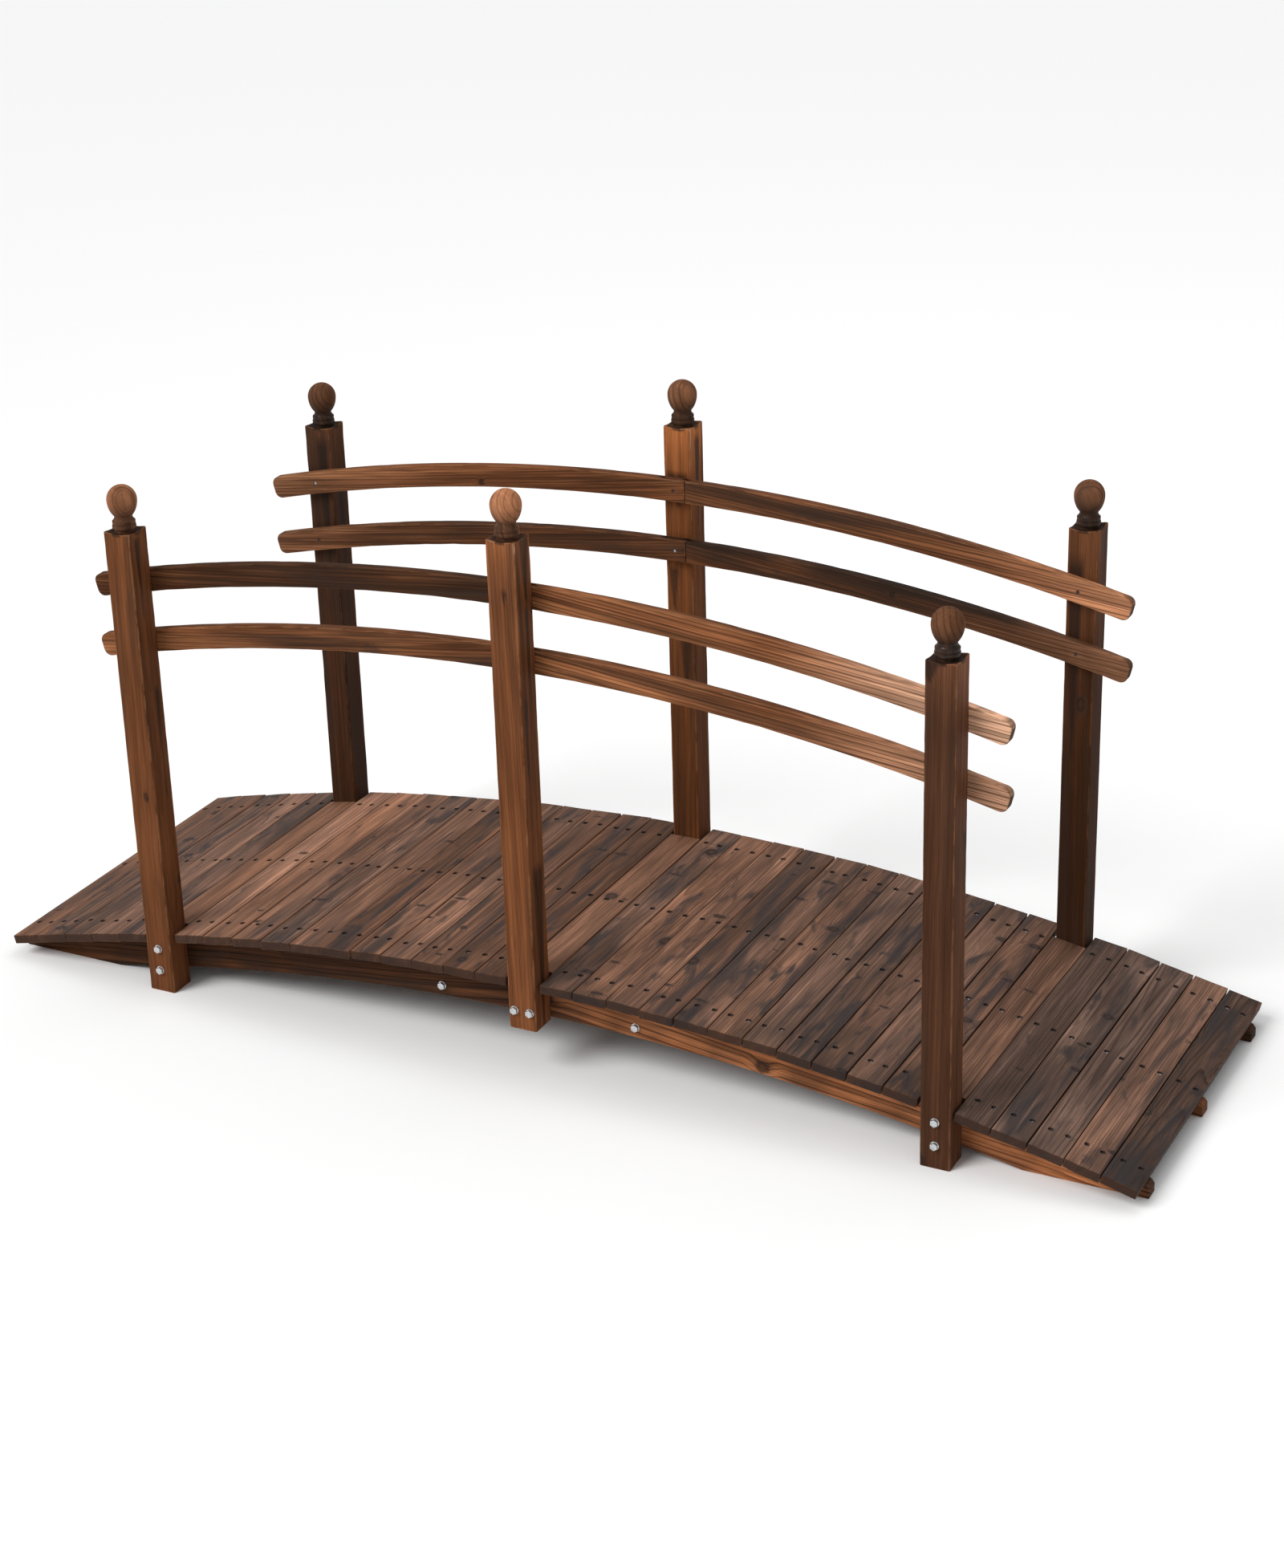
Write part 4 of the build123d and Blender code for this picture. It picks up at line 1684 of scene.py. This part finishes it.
def wear_shaft(bm, post, sizes):
    """Dent the upright edges, and hollow the shoulder as the lathe does, so that its corners stand up."""
    corner = post_side / 2 - sizes.edge_ease
    far = math.hypot(corner, corner)
    for vert in bm.verts:
        spoke = post.spoke(vert.co)
        chance = noise.noise(vert.co * DENT_SCALE + Vector((post.number * DENT_STEP, 0, 0)))
        if min(abs(spoke.x), abs(spoke.y)) > corner:
            vert.co -= spoke.normalized() * sizes.edge_wear * max(0.0, chance + EDGE_DENTS)
        near_top = fading(post.shoulder - vert.co.z, SHOULDER_REACH * sizes.edge_ease)
        inward = limited((far - spoke.length) / (far - sizes.ring_radius))
        dent = sizes.shoulder_wave * max(0.0, chance + SHOULDER_DENTS)
        vert.co.z -= near_top * (sizes.dish * inward + dent)


def head_char_and_shade(post, sizes, co):
    """Burnt black at the rings and neck; the black runs on as painted shade over the lower half of the ball,
    clearing towards its middle.
    """
    # Below the waist this is char; above it, over the lower half of the ball, it is painted shade
    above = co.z - post.shoulder - sizes.neck_height
    fall = NECK_CHAR_AND_SHADE_FALL * above / (sizes.ball_height - sizes.neck_height)
    return post.tone.neck_char * limited(1.0 - fall)


def streak_char(streaks, spoke, below):
    """How burnt a point is by the streaks of its face, each a wedge that narrows downwards."""
    most = 0.0
    for face, middle, top, bottom, half_width in streaks:
        outward, across = (spoke.x, spoke.y) if face == "right" else (-spoke.y, spoke.x)
        if outward < post_side * ON_FACE or not top < below < bottom:
            continue
        fall = (below - top) / (bottom - top)
        inside = 1 - abs(across - middle) / (half_width * (STREAK_TAPER - fall))
        onset = min(1.0, fall * STREAK_ONSET + STREAK_START)
        most = max(most, min(1.0, inside * STREAK_EDGE) * onset)
    return most


def shaft_char(post, sizes, co):
    """Burnt hollow around the head, a dark band just under the shoulder, and the shaft's streaks."""
    below = post.shoulder - co.z
    spoke = co - post.axis
    near_axis = math.hypot(spoke.x, spoke.y) < post_side * HOLLOW_SHARE
    in_hollow = near_axis and below < 2 * sizes.edge_ease
    top = SHAFT_CHAR if in_hollow else max(0.0, SHOULDER_CHAR - below * SHOULDER_CHAR_FALL)
    return max(top, SHAFT_CHAR * streak_char(post.streaks, spoke, below))


def shaft_tint(post):
    """A drifting tone, brighter under the shoulder and, on some posts, on the right face."""
    tone = post.tone
    tint = Vector((tone.shaft, tone.scorch, tone.grey))
    drift = drifting(tint, lambda co: co.z, SHAFT_DRIFT, post.number)

    def tint_of(co):
        here = drift(co)
        here.x *= 1 + tone.glow * fading(post.shoulder - co.z, tone.glow_length) ** GLOW_FALL
        if co.x - post.axis.x > ON_FACE * post_side:
            here.x *= tone.right_share
        return here
    return tint_of


def shaft_grain(post, pith, lean, co):
    """Upright grain that leans a little."""
    axis = post.axis
    return pith + Vector((co.z, co.x - axis.x + lean.x * co.z, co.y - axis.y + lean.y * co.z))


def head_grain(pith, ball, rng):
    """Grain of a head, turned at random about its ball so that the growth rings circle somewhere on it."""
    turn = Matrix.Rotation(rng.uniform(*HEAD_TURNS), 3, "Z")
    swing = turn @ Matrix.Rotation(rng.uniform(*HEAD_TIPS), 3, "Y")

    def grain_of(co):
        turned = swing @ (co - ball) * HEAD_GRAIN_SCALE
        return Vector((turned.z + pith.x, turned.x + HEAD_PITH_ASIDE, turned.y))
    return grain_of


def dress_shaft(post, sizes, pith, lean):
    """The shaft with its tones and its wear."""
    bm = square_shaft(sizes, post)
    axis = post.axis
    middle = (post.shoulder + post.foot) / 2
    half = Vector(((post.shoulder - post.foot) / 2, post_side / 2, post_side / 2))
    paint_wood(
        bm, place=lambda co: Vector((co.z - middle, co.x - axis.x, co.y - axis.y)), half_size=half,
        grain=partial(shaft_grain, post, pith, lean), tint=shaft_tint(post), figure=post.tone.figure,
        char=partial(shaft_char, post, sizes), bleach=partial(chip_bleach, post, sizes),
    )
    wear_shaft(bm, post, sizes)
    tear_corners(bm, post, sizes)
    return bm


def dress_head(post, sizes, pith, rng):
    """The turned head with its tones. It has no edges that rub."""
    bm = turn_head(sizes, post)
    ball = Vector((post.axis.x, post.axis.y, post.shoulder + sizes.ball_height))
    tint = Vector((post.tone.head, post.tone.scorch, HEAD_GREYNESS))
    paint_wood(
        bm, place=Vector(), half_size=Vector((1, 1, 1)), grain=head_grain(pith, ball, rng),
        tint=drifting(tint, lambda co: co.z, HEAD_DRIFT, post.number), figure=HEAD_FIGURE,
        char=partial(head_char_and_shade, post, sizes), bleach=HEAD_BLEACH,
    )
    return bm


class BRIDGE_OT_posts(Operator):
    """Cut the square posts and turn their heads"""

    bl_idname = "bridge.posts"
    bl_label = "Posts"

    def execute(self, context):
        settings = context.scene.garden_bridge
        sizes = settings.posts
        fir = wood("post_fir", settings.finish)
        rng = random.Random(settings.finish.seed + POST_SEED)
        names = [f"{side}_{place}" for side in SIDES for place in POST_PLACES]
        for number, name in enumerate(names):
            node = f"{name}_post"
            post = PostStand(node, name, number, sizes)
            along = rng.uniform(*PITH_ALONG)
            aside = random_sign(rng) * rng.uniform(*POST_PITH_ASIDE)
            pith = Vector((along, aside, rng.uniform(*POST_PITH_BACK)))
            lean = Vector((rng.uniform(-POST_LEAN, POST_LEAN), rng.uniform(-POST_LEAN, POST_LEAN)))
            bm = dress_shaft(post, sizes, pith, lean)
            merge_into(bm, dress_head(post, sizes, pith, rng))
            finish_piece(bm, f"turned_{node}", [fir], [node])
        return {"FINISHED"}


# Rails

RAIL_SEED = 400

# Half side of the patch around a screw, the screw head's depth, and facets of the lap, the end and a corner
RAIL_PAD = 0.008
RAIL_SEAT_DEPTH = 0.0018
LAP_STEPS = 3
RAIL_END_STEPS = 4
RAIL_CORNER_STEPS = 6

# Where an edge begins, as a share of the height, and its dents in cycles per metre
RAIL_EDGE = 0.4
RAIL_DENTS = (26.0, 60.0, 40.0)

# Brightness, burnt share and strength of figure of a rail half, and how bare its tip is
RAIL_TONES = {
    "front_upper_left": (0.28, 0.50, 0.60, 0.0),
    "front_upper_right": (0.88, 0.42, 0.90, 1.45),
    "front_lower_left": (0.66, 0.46, 0.65, 0.0),
    "front_lower_right": (0.84, 0.46, 0.90, 0.66),
    "back_upper_left": (0.64, 0.36, 0.55, 0.12),
    "back_upper_right": (1.02, 0.54, 0.80, 0.16),
    "back_lower_left": (0.48, 0.54, 0.60, 0.10),
    "back_lower_right": (0.62, 0.58, 0.70, 0.20),
}
RAIL_GREYNESS = 0.05
RAIL_DRIFT = 0.25

# The tip: its length, and how it brightens, is less burnt and turns bare
PALE_TIP_LENGTH = 0.42
TIP_GLOW = 0.35
TIP_CLEARING = 0.6
TIP_BLEACH_FALL = 1.4
END_CHAR = 0.62

# How black a rail half is along its upper edge, how far from the tip that ends, and its patches
RAIL_BURNS = {
    "back_lower_right": 1.7, "back_upper_right": 0.4, "back_lower_left": 0.4, "front_upper_left": 0.3,
}
BURN_END = 0.25
BURN_PATCHES = 6.0
BURN_MIDDLE = 0.8
BURN_MOST = 0.95


def saw_rail(node, side_sign, end_sign, rails):
    """Half a rail: a band with rounded outer corners, half lapped at the crown."""
    low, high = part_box(node)
    radius = radius_through(post_station, rails.drop)
    crown = high.z - rails.height / 2
    centre = Vector((0, 0, crown - radius))
    reach = max(high.x, -low.x)
    tongue = min(high.x, -low.x)
    shoulder = rails.lap_length / 2
    marks = (-tongue, shoulder, post_station - RAIL_PAD, post_station + RAIL_PAD, reach)
    stations = [math.asin(x / radius) for x in marks]
    bm = arched_band(
        centre, radius - rails.height / 2, radius + rails.height / 2, stations,
        (LAP_STEPS, rails.steps, 1, RAIL_END_STEPS),
    )
    ends = sorted(bm.verts, key=lambda vert: vert.co.x / (vert.co - centre).length)[-2:]
    cut_corners(bm, ends, rails.end_radius, RAIL_CORNER_STEPS)
    if end_sign < 0:
        bmesh.ops.scale(bm, vec=(-1, 1, 1), verts=bm.verts)
    post_face, walk_face = (high.y, low.y) if side_sign > 0 else (low.y, high.y)
    tongue_on_walkway = side_sign * end_sign < 0
    outer, other = (walk_face, post_face) if tongue_on_walkway else (post_face, walk_face)
    bmesh.ops.translate(bm, vec=(0, outer, 0), verts=bm.verts)
    half = (other - outer) / 2
    grown = thicken(bm, bm.faces[:], half)
    beyond = [face for face in grown if end_sign * face.calc_center_median().x > shoulder]
    thicken(bm, beyond, half)
    ease_plank(bm, rails.edge_ease)
    span = (stations[0], stations[-1]) if end_sign > 0 else (-stations[-1], -stations[0])
    return bm, Arch(centre, radius, rails.height, span), walk_face


def wear_rail(bm, arch, rails, seed):
    """Dent the upper and lower edges."""
    along, over, through = RAIL_DENTS
    for vert in bm.verts:
        spoke = Vector((vert.co.x - arch.centre.x, 0, vert.co.z - arch.centre.z))
        across = spoke.length - arch.radius
        if abs(across) > RAIL_EDGE * rails.height:
            chance = noise.noise(Vector((vert.co.x * along, across * over, vert.co.y * through + seed)))
            vert.co -= spoke.normalized() * math.copysign(rails.edge_wear * max(0.0, chance), across)


def seat_rail_screw(bm, arch, turn, walk_face, side_sign, rails):
    """Sink a screw in the rail's walkway face."""
    seat = arch.point(turn)
    seat.y = walk_face
    normal = Vector((0, -side_sign, 0))
    spoke = (seat - Vector((arch.centre.x, walk_face, arch.centre.z))).normalized()
    for side in (-1, 1):
        face = face_at(bm, seat, normal, rails.height / 2)
        cut(bm, seat + spoke * side * RAIL_PAD, spoke, face.verts[:] + face.edges[:] + [face])
    face = face_at(bm, seat, normal, rails.height / 4)
    sink_screw(bm, face, seat, rails.screw_radius, RAIL_SEAT_DEPTH)


def near_tip(co, reach):
    """How near a point is to the tip of its rail half, from 0 to 1."""
    return fading(reach - abs(co.x), PALE_TIP_LENGTH)


def rail_tint(tone, scorch, reach, seed):
    """A drifting tone, brighter and less burnt towards the tip."""
    drift = drifting(Vector((tone, scorch, RAIL_GREYNESS)), lambda co: co.x, RAIL_DRIFT, seed)

    def tint_of(co):
        tint = drift(co)
        near = near_tip(co, reach)
        return Vector((tint.x * (1 + TIP_GLOW * near), tint.y * (1 - TIP_CLEARING * near), tint.z))
    return tint_of


def upper_edge_char(most, arch, reach, co):
    """Burnt in patches along the upper edge, and clear at the tip."""
    above = max(0.0, 2 * arch.above(co) / arch.depth)
    patch = limited(BURN_MIDDLE + noise.noise(Vector((co.x * BURN_PATCHES, reach, 0.0))))
    return min(BURN_MOST, most * above * patch * min(1.0, (reach - abs(co.x)) / BURN_END))


def rail_end_char(arch, rails, co):
    """Dark on the sawn end, round its corners, and nowhere else."""
    reach_turn = max(arch.stop, -arch.start)
    spoke = co - arch.centre
    inset = (reach_turn - abs(math.atan2(spoke.x, spoke.z))) * arch.radius
    corner = abs(arch.above(co)) - (rails.height / 2 - rails.end_radius)
    if corner > 0 and inset < rails.end_radius:
        inset = rails.end_radius - math.hypot(rails.end_radius - inset, corner)
    return END_CHAR * fading(abs(inset), rails.edge_ease) if inset < rails.edge_ease else 0.0


def dress_rail(bm, arch, box, name, rails, rng):
    """Give a rail half its tones and its dents."""
    tone, scorch, figure, bare_tip = RAIL_TONES[name]
    low, high = box
    reach = max(high.x, -low.x)
    burn = RAIL_BURNS.get(name, 0.0)
    paint_arched(
        bm, arch, box, rng, figure, tint=rail_tint(tone, scorch, reach, rng.uniform(*DRIFT_SEEDS)),
        char=lambda co: max(rail_end_char(arch, rails, co), upper_edge_char(burn, arch, reach, co)),
        bleach=lambda co: bare_tip * near_tip(co, reach) ** TIP_BLEACH_FALL,
    )
    wear_rail(bm, arch, rails, rng.uniform(*DRIFT_SEEDS))


class BRIDGE_OT_rails(Operator):
    """Saw the curved rails, half lapped at the middle posts"""

    bl_idname = "bridge.rails"
    bl_label = "Rails"

    def execute(self, context):
        settings = context.scene.garden_bridge
        rails = settings.rails
        materials = (wood("rail_fir", settings.finish), screw_metal(settings.finish))
        rng = random.Random(settings.finish.seed + RAIL_SEED)
        for side, level, end in product(SIDES, ("upper", "lower"), ENDS):
            node = f"{side}_{level}_rail_{end}"
            side_sign, end_sign = SIDES[side], ENDS[end]
            bm, arch, walk_face = saw_rail(node, side_sign, end_sign, rails)
            turn = end_sign * math.asin(post_station / arch.radius)
            seat_rail_screw(bm, arch, turn, walk_face, side_sign, rails)
            if side_sign * end_sign < 0:
                seat_rail_screw(bm, arch, 0.0, walk_face, side_sign, rails)
            dress_rail(bm, arch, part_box(node), f"{side}_{level}_{end}", rails, rng)
            finish_piece(bm, f"sawn_{node}", materials, [node])
        return {"FINISHED"}


# Hardware

# Facets of a washer and a shank, roundings as shares of a size, and the limit of smooth shading
WASHER_TURNS = 24
SHANK_TURNS = 12
HEX_EASE = 0.07
DISC_EASE_TALL = 0.4
DISC_EASE_WIDE = 0.2
METAL_SMOOTH = math.radians(25)
MIDDLE_ROW_SPREAD = 3


def standing_prism(bm, place, outward, radius, tall, segments, ease):
    """A prism that stands on a face along Y, with its outer rim rounded."""
    turn = Matrix.Rotation(-outward * math.pi / 2, 4, "X")
    made = bmesh.ops.create_cone(
        bm, cap_ends=True, segments=segments, radius1=radius, radius2=radius, depth=tall,
        matrix=Matrix.Translation(place + Vector((0, outward * tall / 2, 0))) @ turn,
    )
    top = place.y + outward * tall
    rim = [
        edge for edge in {edge for vert in made["verts"] for edge in vert.link_edges}
        if all(abs(vert.co.y - top) < TOUCHING for vert in edge.verts)
    ]
    round_edges(bm, rim, ease)


def hex_prism(bm, place, outward, across_flats, tall):
    """A hex head or nut, its outer corners chamfered."""
    standing_prism(bm, place, outward, across_flats / math.sqrt(3), tall, 6, across_flats * HEX_EASE)


def round_disc(bm, place, outward, radius, tall, segments):
    """A washer or a bolt's end, with a rounded outer rim."""
    ease = min(tall * DISC_EASE_TALL, radius * DISC_EASE_WIDE)
    standing_prism(bm, place, outward, radius, tall, segments, ease)


def through_bolt(bm, x, z, head_face, nut_face, hardware):
    """A bolt through the wood: washer and hex head on one side, washer, nut and shank end on the other."""
    outward = 1 if head_face > nut_face else -1
    ends = ((head_face, outward, hardware.head_height), (nut_face, -outward, hardware.nut_height))
    for face, way, tall in ends:
        place = Vector((x, face, z))
        round_disc(bm, place, way, hardware.washer_radius, hardware.washer_thickness, WASHER_TURNS)
        place.y += way * hardware.washer_thickness
        hex_prism(bm, place, way, hardware.across_flats, tall)
    proud = hardware.nut_height + hardware.shank_radius
    round_disc(bm, place, way, hardware.shank_radius, proud, SHANK_TURNS)


def bolt_places(hardware):
    """Each bolt's x, z, the face under its head and the face under its nut."""
    stringer_inner = {"front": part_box("front_stringer_left")[1].y, "back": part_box("back_stringer_left")[0].y}
    splice_inner = {"front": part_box("front_splice_board")[1].y, "back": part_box("back_splice_board")[0].y}
    for side, sign in SIDES.items():
        for end_sign in ENDS.values():
            for z in (hardware.end_post_upper, hardware.end_post_lower):
                yield end_sign * post_station, z, sign * post_outer_face, stringer_inner[side]
            spread = end_sign * hardware.middle_post_spread
            yield spread, hardware.middle_post_height, sign * post_outer_face, splice_inner[side]
            reach = end_sign * hardware.splice_reach
            yield reach, hardware.splice_height, sign * post_inner_face, splice_inner[side]
    middle_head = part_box("middle_stringer_left")[0].y
    middle_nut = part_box("middle_splice_board")[1].y
    for end_sign in ENDS.values():
        yield end_sign * hardware.splice_reach, hardware.splice_height, middle_head, middle_nut
        spread = end_sign * hardware.middle_post_spread * MIDDLE_ROW_SPREAD
        yield spread, hardware.middle_post_height, middle_head, middle_nut


class BRIDGE_OT_bolts(Operator):
    """Put the hex bolts through the posts, stringers and splice boards"""

    bl_idname = "bridge.bolts"
    bl_label = "Bolts"

    def execute(self, context):
        settings = context.scene.garden_bridge
        bm = bmesh.new()
        for x, z, head_face, nut_face in bolt_places(settings.hardware):
            through_bolt(bm, x, z, head_face, nut_face, settings.hardware)
        bmesh.ops.recalc_face_normals(bm, faces=bm.faces)
        finish_piece(bm, "hex_bolts", [zinc_metal(settings.finish)], smooth=METAL_SMOOTH)
        return {"FINISHED"}


# Stage

# Places of the lights and what they look at, the key light's spread and the fill light's width
KEY_PLACE = (-2.6, -4.2, 4.8)
KEY_TARGET = (0, 0, 0.4)
KEY_SPREAD = math.radians(32)
FILL_PLACE = (0.6, 1.2, 5.2)
FILL_TARGET = (0, 0, 0.3)
FILL_WIDTH = 4.0
FLOOR_ROUGHNESS = 0.9


def pale_floor(stage):
    """A wide plain floor, not part of the object."""
    bm = bmesh.new()
    bmesh.ops.create_grid(bm, x_segments=1, y_segments=1, size=stage.floor_side / 2)
    mesh = bpy.data.meshes.new("floor")
    bm.to_mesh(mesh)
    bm.free()
    material, tree, shader = start_material("pale_floor")
    surface(tree, shader, {"Base Color": (*stage.floor_colour, 1.0), "Roughness": FLOOR_ROUGHNESS})
    mesh.materials.append(material)
    floor = bpy.data.objects.new("floor", mesh)
    bpy.context.scene.collection.objects.link(floor)


def aim(place, target, roll=0.0):
    """Rotation that looks from place to target."""
    look = (Vector(target) - Vector(place)).to_track_quat("-Z", "Y")
    return (look.to_matrix().to_4x4() @ Matrix.Rotation(roll, 4, "Z")).to_euler()


def soft_light(name, kind, place, target, size, power):
    """A large soft light, either a disc or a broad far one."""
    data = bpy.data.lights.new(name, kind)
    if kind == "AREA":
        data.shape = "DISK"
        data.size = size
    else:
        data.angle = size
    data.energy = power
    light = bpy.data.objects.new(name, data)
    light.location = place
    light.rotation_euler = aim(place, target)
    bpy.context.scene.collection.objects.link(light)


def stage_camera(stage):
    """The camera at the photograph's viewing angle."""
    data = bpy.data.cameras.new("camera")
    data.sensor_fit = "VERTICAL"
    data.sensor_height = stage.picture_height
    data.lens = stage.lens
    camera = bpy.data.objects.new("camera", data)
    camera.location = stage.camera_place
    camera.rotation_euler = aim(stage.camera_place, stage.camera_target, stage.camera_roll)
    bpy.context.scene.collection.objects.link(camera)
    bpy.context.scene.camera = camera


def even_sky(stage):
    """White light from all around, and a white backdrop beyond the floor."""
    world = bpy.data.worlds.new("sky")
    world.use_nodes = True
    tree = world.node_tree
    background = tree.nodes["Background"]
    background.inputs["Color"].default_value = (1.0, 1.0, 1.0, 1.0)
    seen = add_node(tree, "ShaderNodeLightPath").outputs["Is Camera Ray"]
    strength = smooth_step(tree, seen, 0.0, 1.0, stage.sky_strength, 1.0)
    tree.links.new(strength, background.inputs["Strength"])
    bpy.context.scene.world = world


class BRIDGE_OT_stage(Operator):
    """Set up the floor, the lights and the camera"""

    bl_idname = "bridge.stage"
    bl_label = "Stage"

    def execute(self, context):
        stage = context.scene.garden_bridge.stage
        pale_floor(stage)
        even_sky(stage)
        soft_light("key", "SUN", KEY_PLACE, KEY_TARGET, KEY_SPREAD, stage.key_power)
        soft_light("fill", "AREA", FILL_PLACE, FILL_TARGET, FILL_WIDTH, stage.fill_power)
        stage_camera(stage)
        context.scene.view_settings.view_transform = "Standard"
        return {"FINISHED"}


# Panel and registration

PIECES = (
    BRIDGE_OT_deck_boards,
    BRIDGE_OT_stringers,
    BRIDGE_OT_splice_boards,
    BRIDGE_OT_posts,
    BRIDGE_OT_rails,
    BRIDGE_OT_bolts,
    BRIDGE_OT_stage,
)


class BRIDGE_PT_pieces(Panel):
    """Lists the bridge's pieces"""

    bl_label = "Garden bridge"
    bl_idname = "BRIDGE_PT_pieces"
    bl_space_type = "VIEW_3D"
    bl_region_type = "UI"
    bl_category = "Bridge"

    def draw(self, context):
        for piece in PIECES:
            self.layout.operator(piece.bl_idname)


CLASSES = (
    DeckSettings,
    StringerSettings,
    PostSettings,
    RailSettings,
    HardwareSettings,
    FinishSettings,
    StageSettings,
    BridgeSettings,
    *PIECES,
    BRIDGE_PT_pieces,
)


def register():
    for entry in CLASSES:
        bpy.utils.register_class(entry)
    bpy.types.Scene.garden_bridge = PointerProperty(type=BridgeSettings)


def unregister():
    del bpy.types.Scene.garden_bridge
    for entry in reversed(CLASSES):
        bpy.utils.unregister_class(entry)


def main():
    register()
    bpy.ops.bridge.deck_boards()
    bpy.ops.bridge.stringers()
    bpy.ops.bridge.splice_boards()
    bpy.ops.bridge.posts()
    bpy.ops.bridge.rails()
    bpy.ops.bridge.bolts()
    bpy.ops.bridge.stage()


if __name__ == "__main__":
    main()
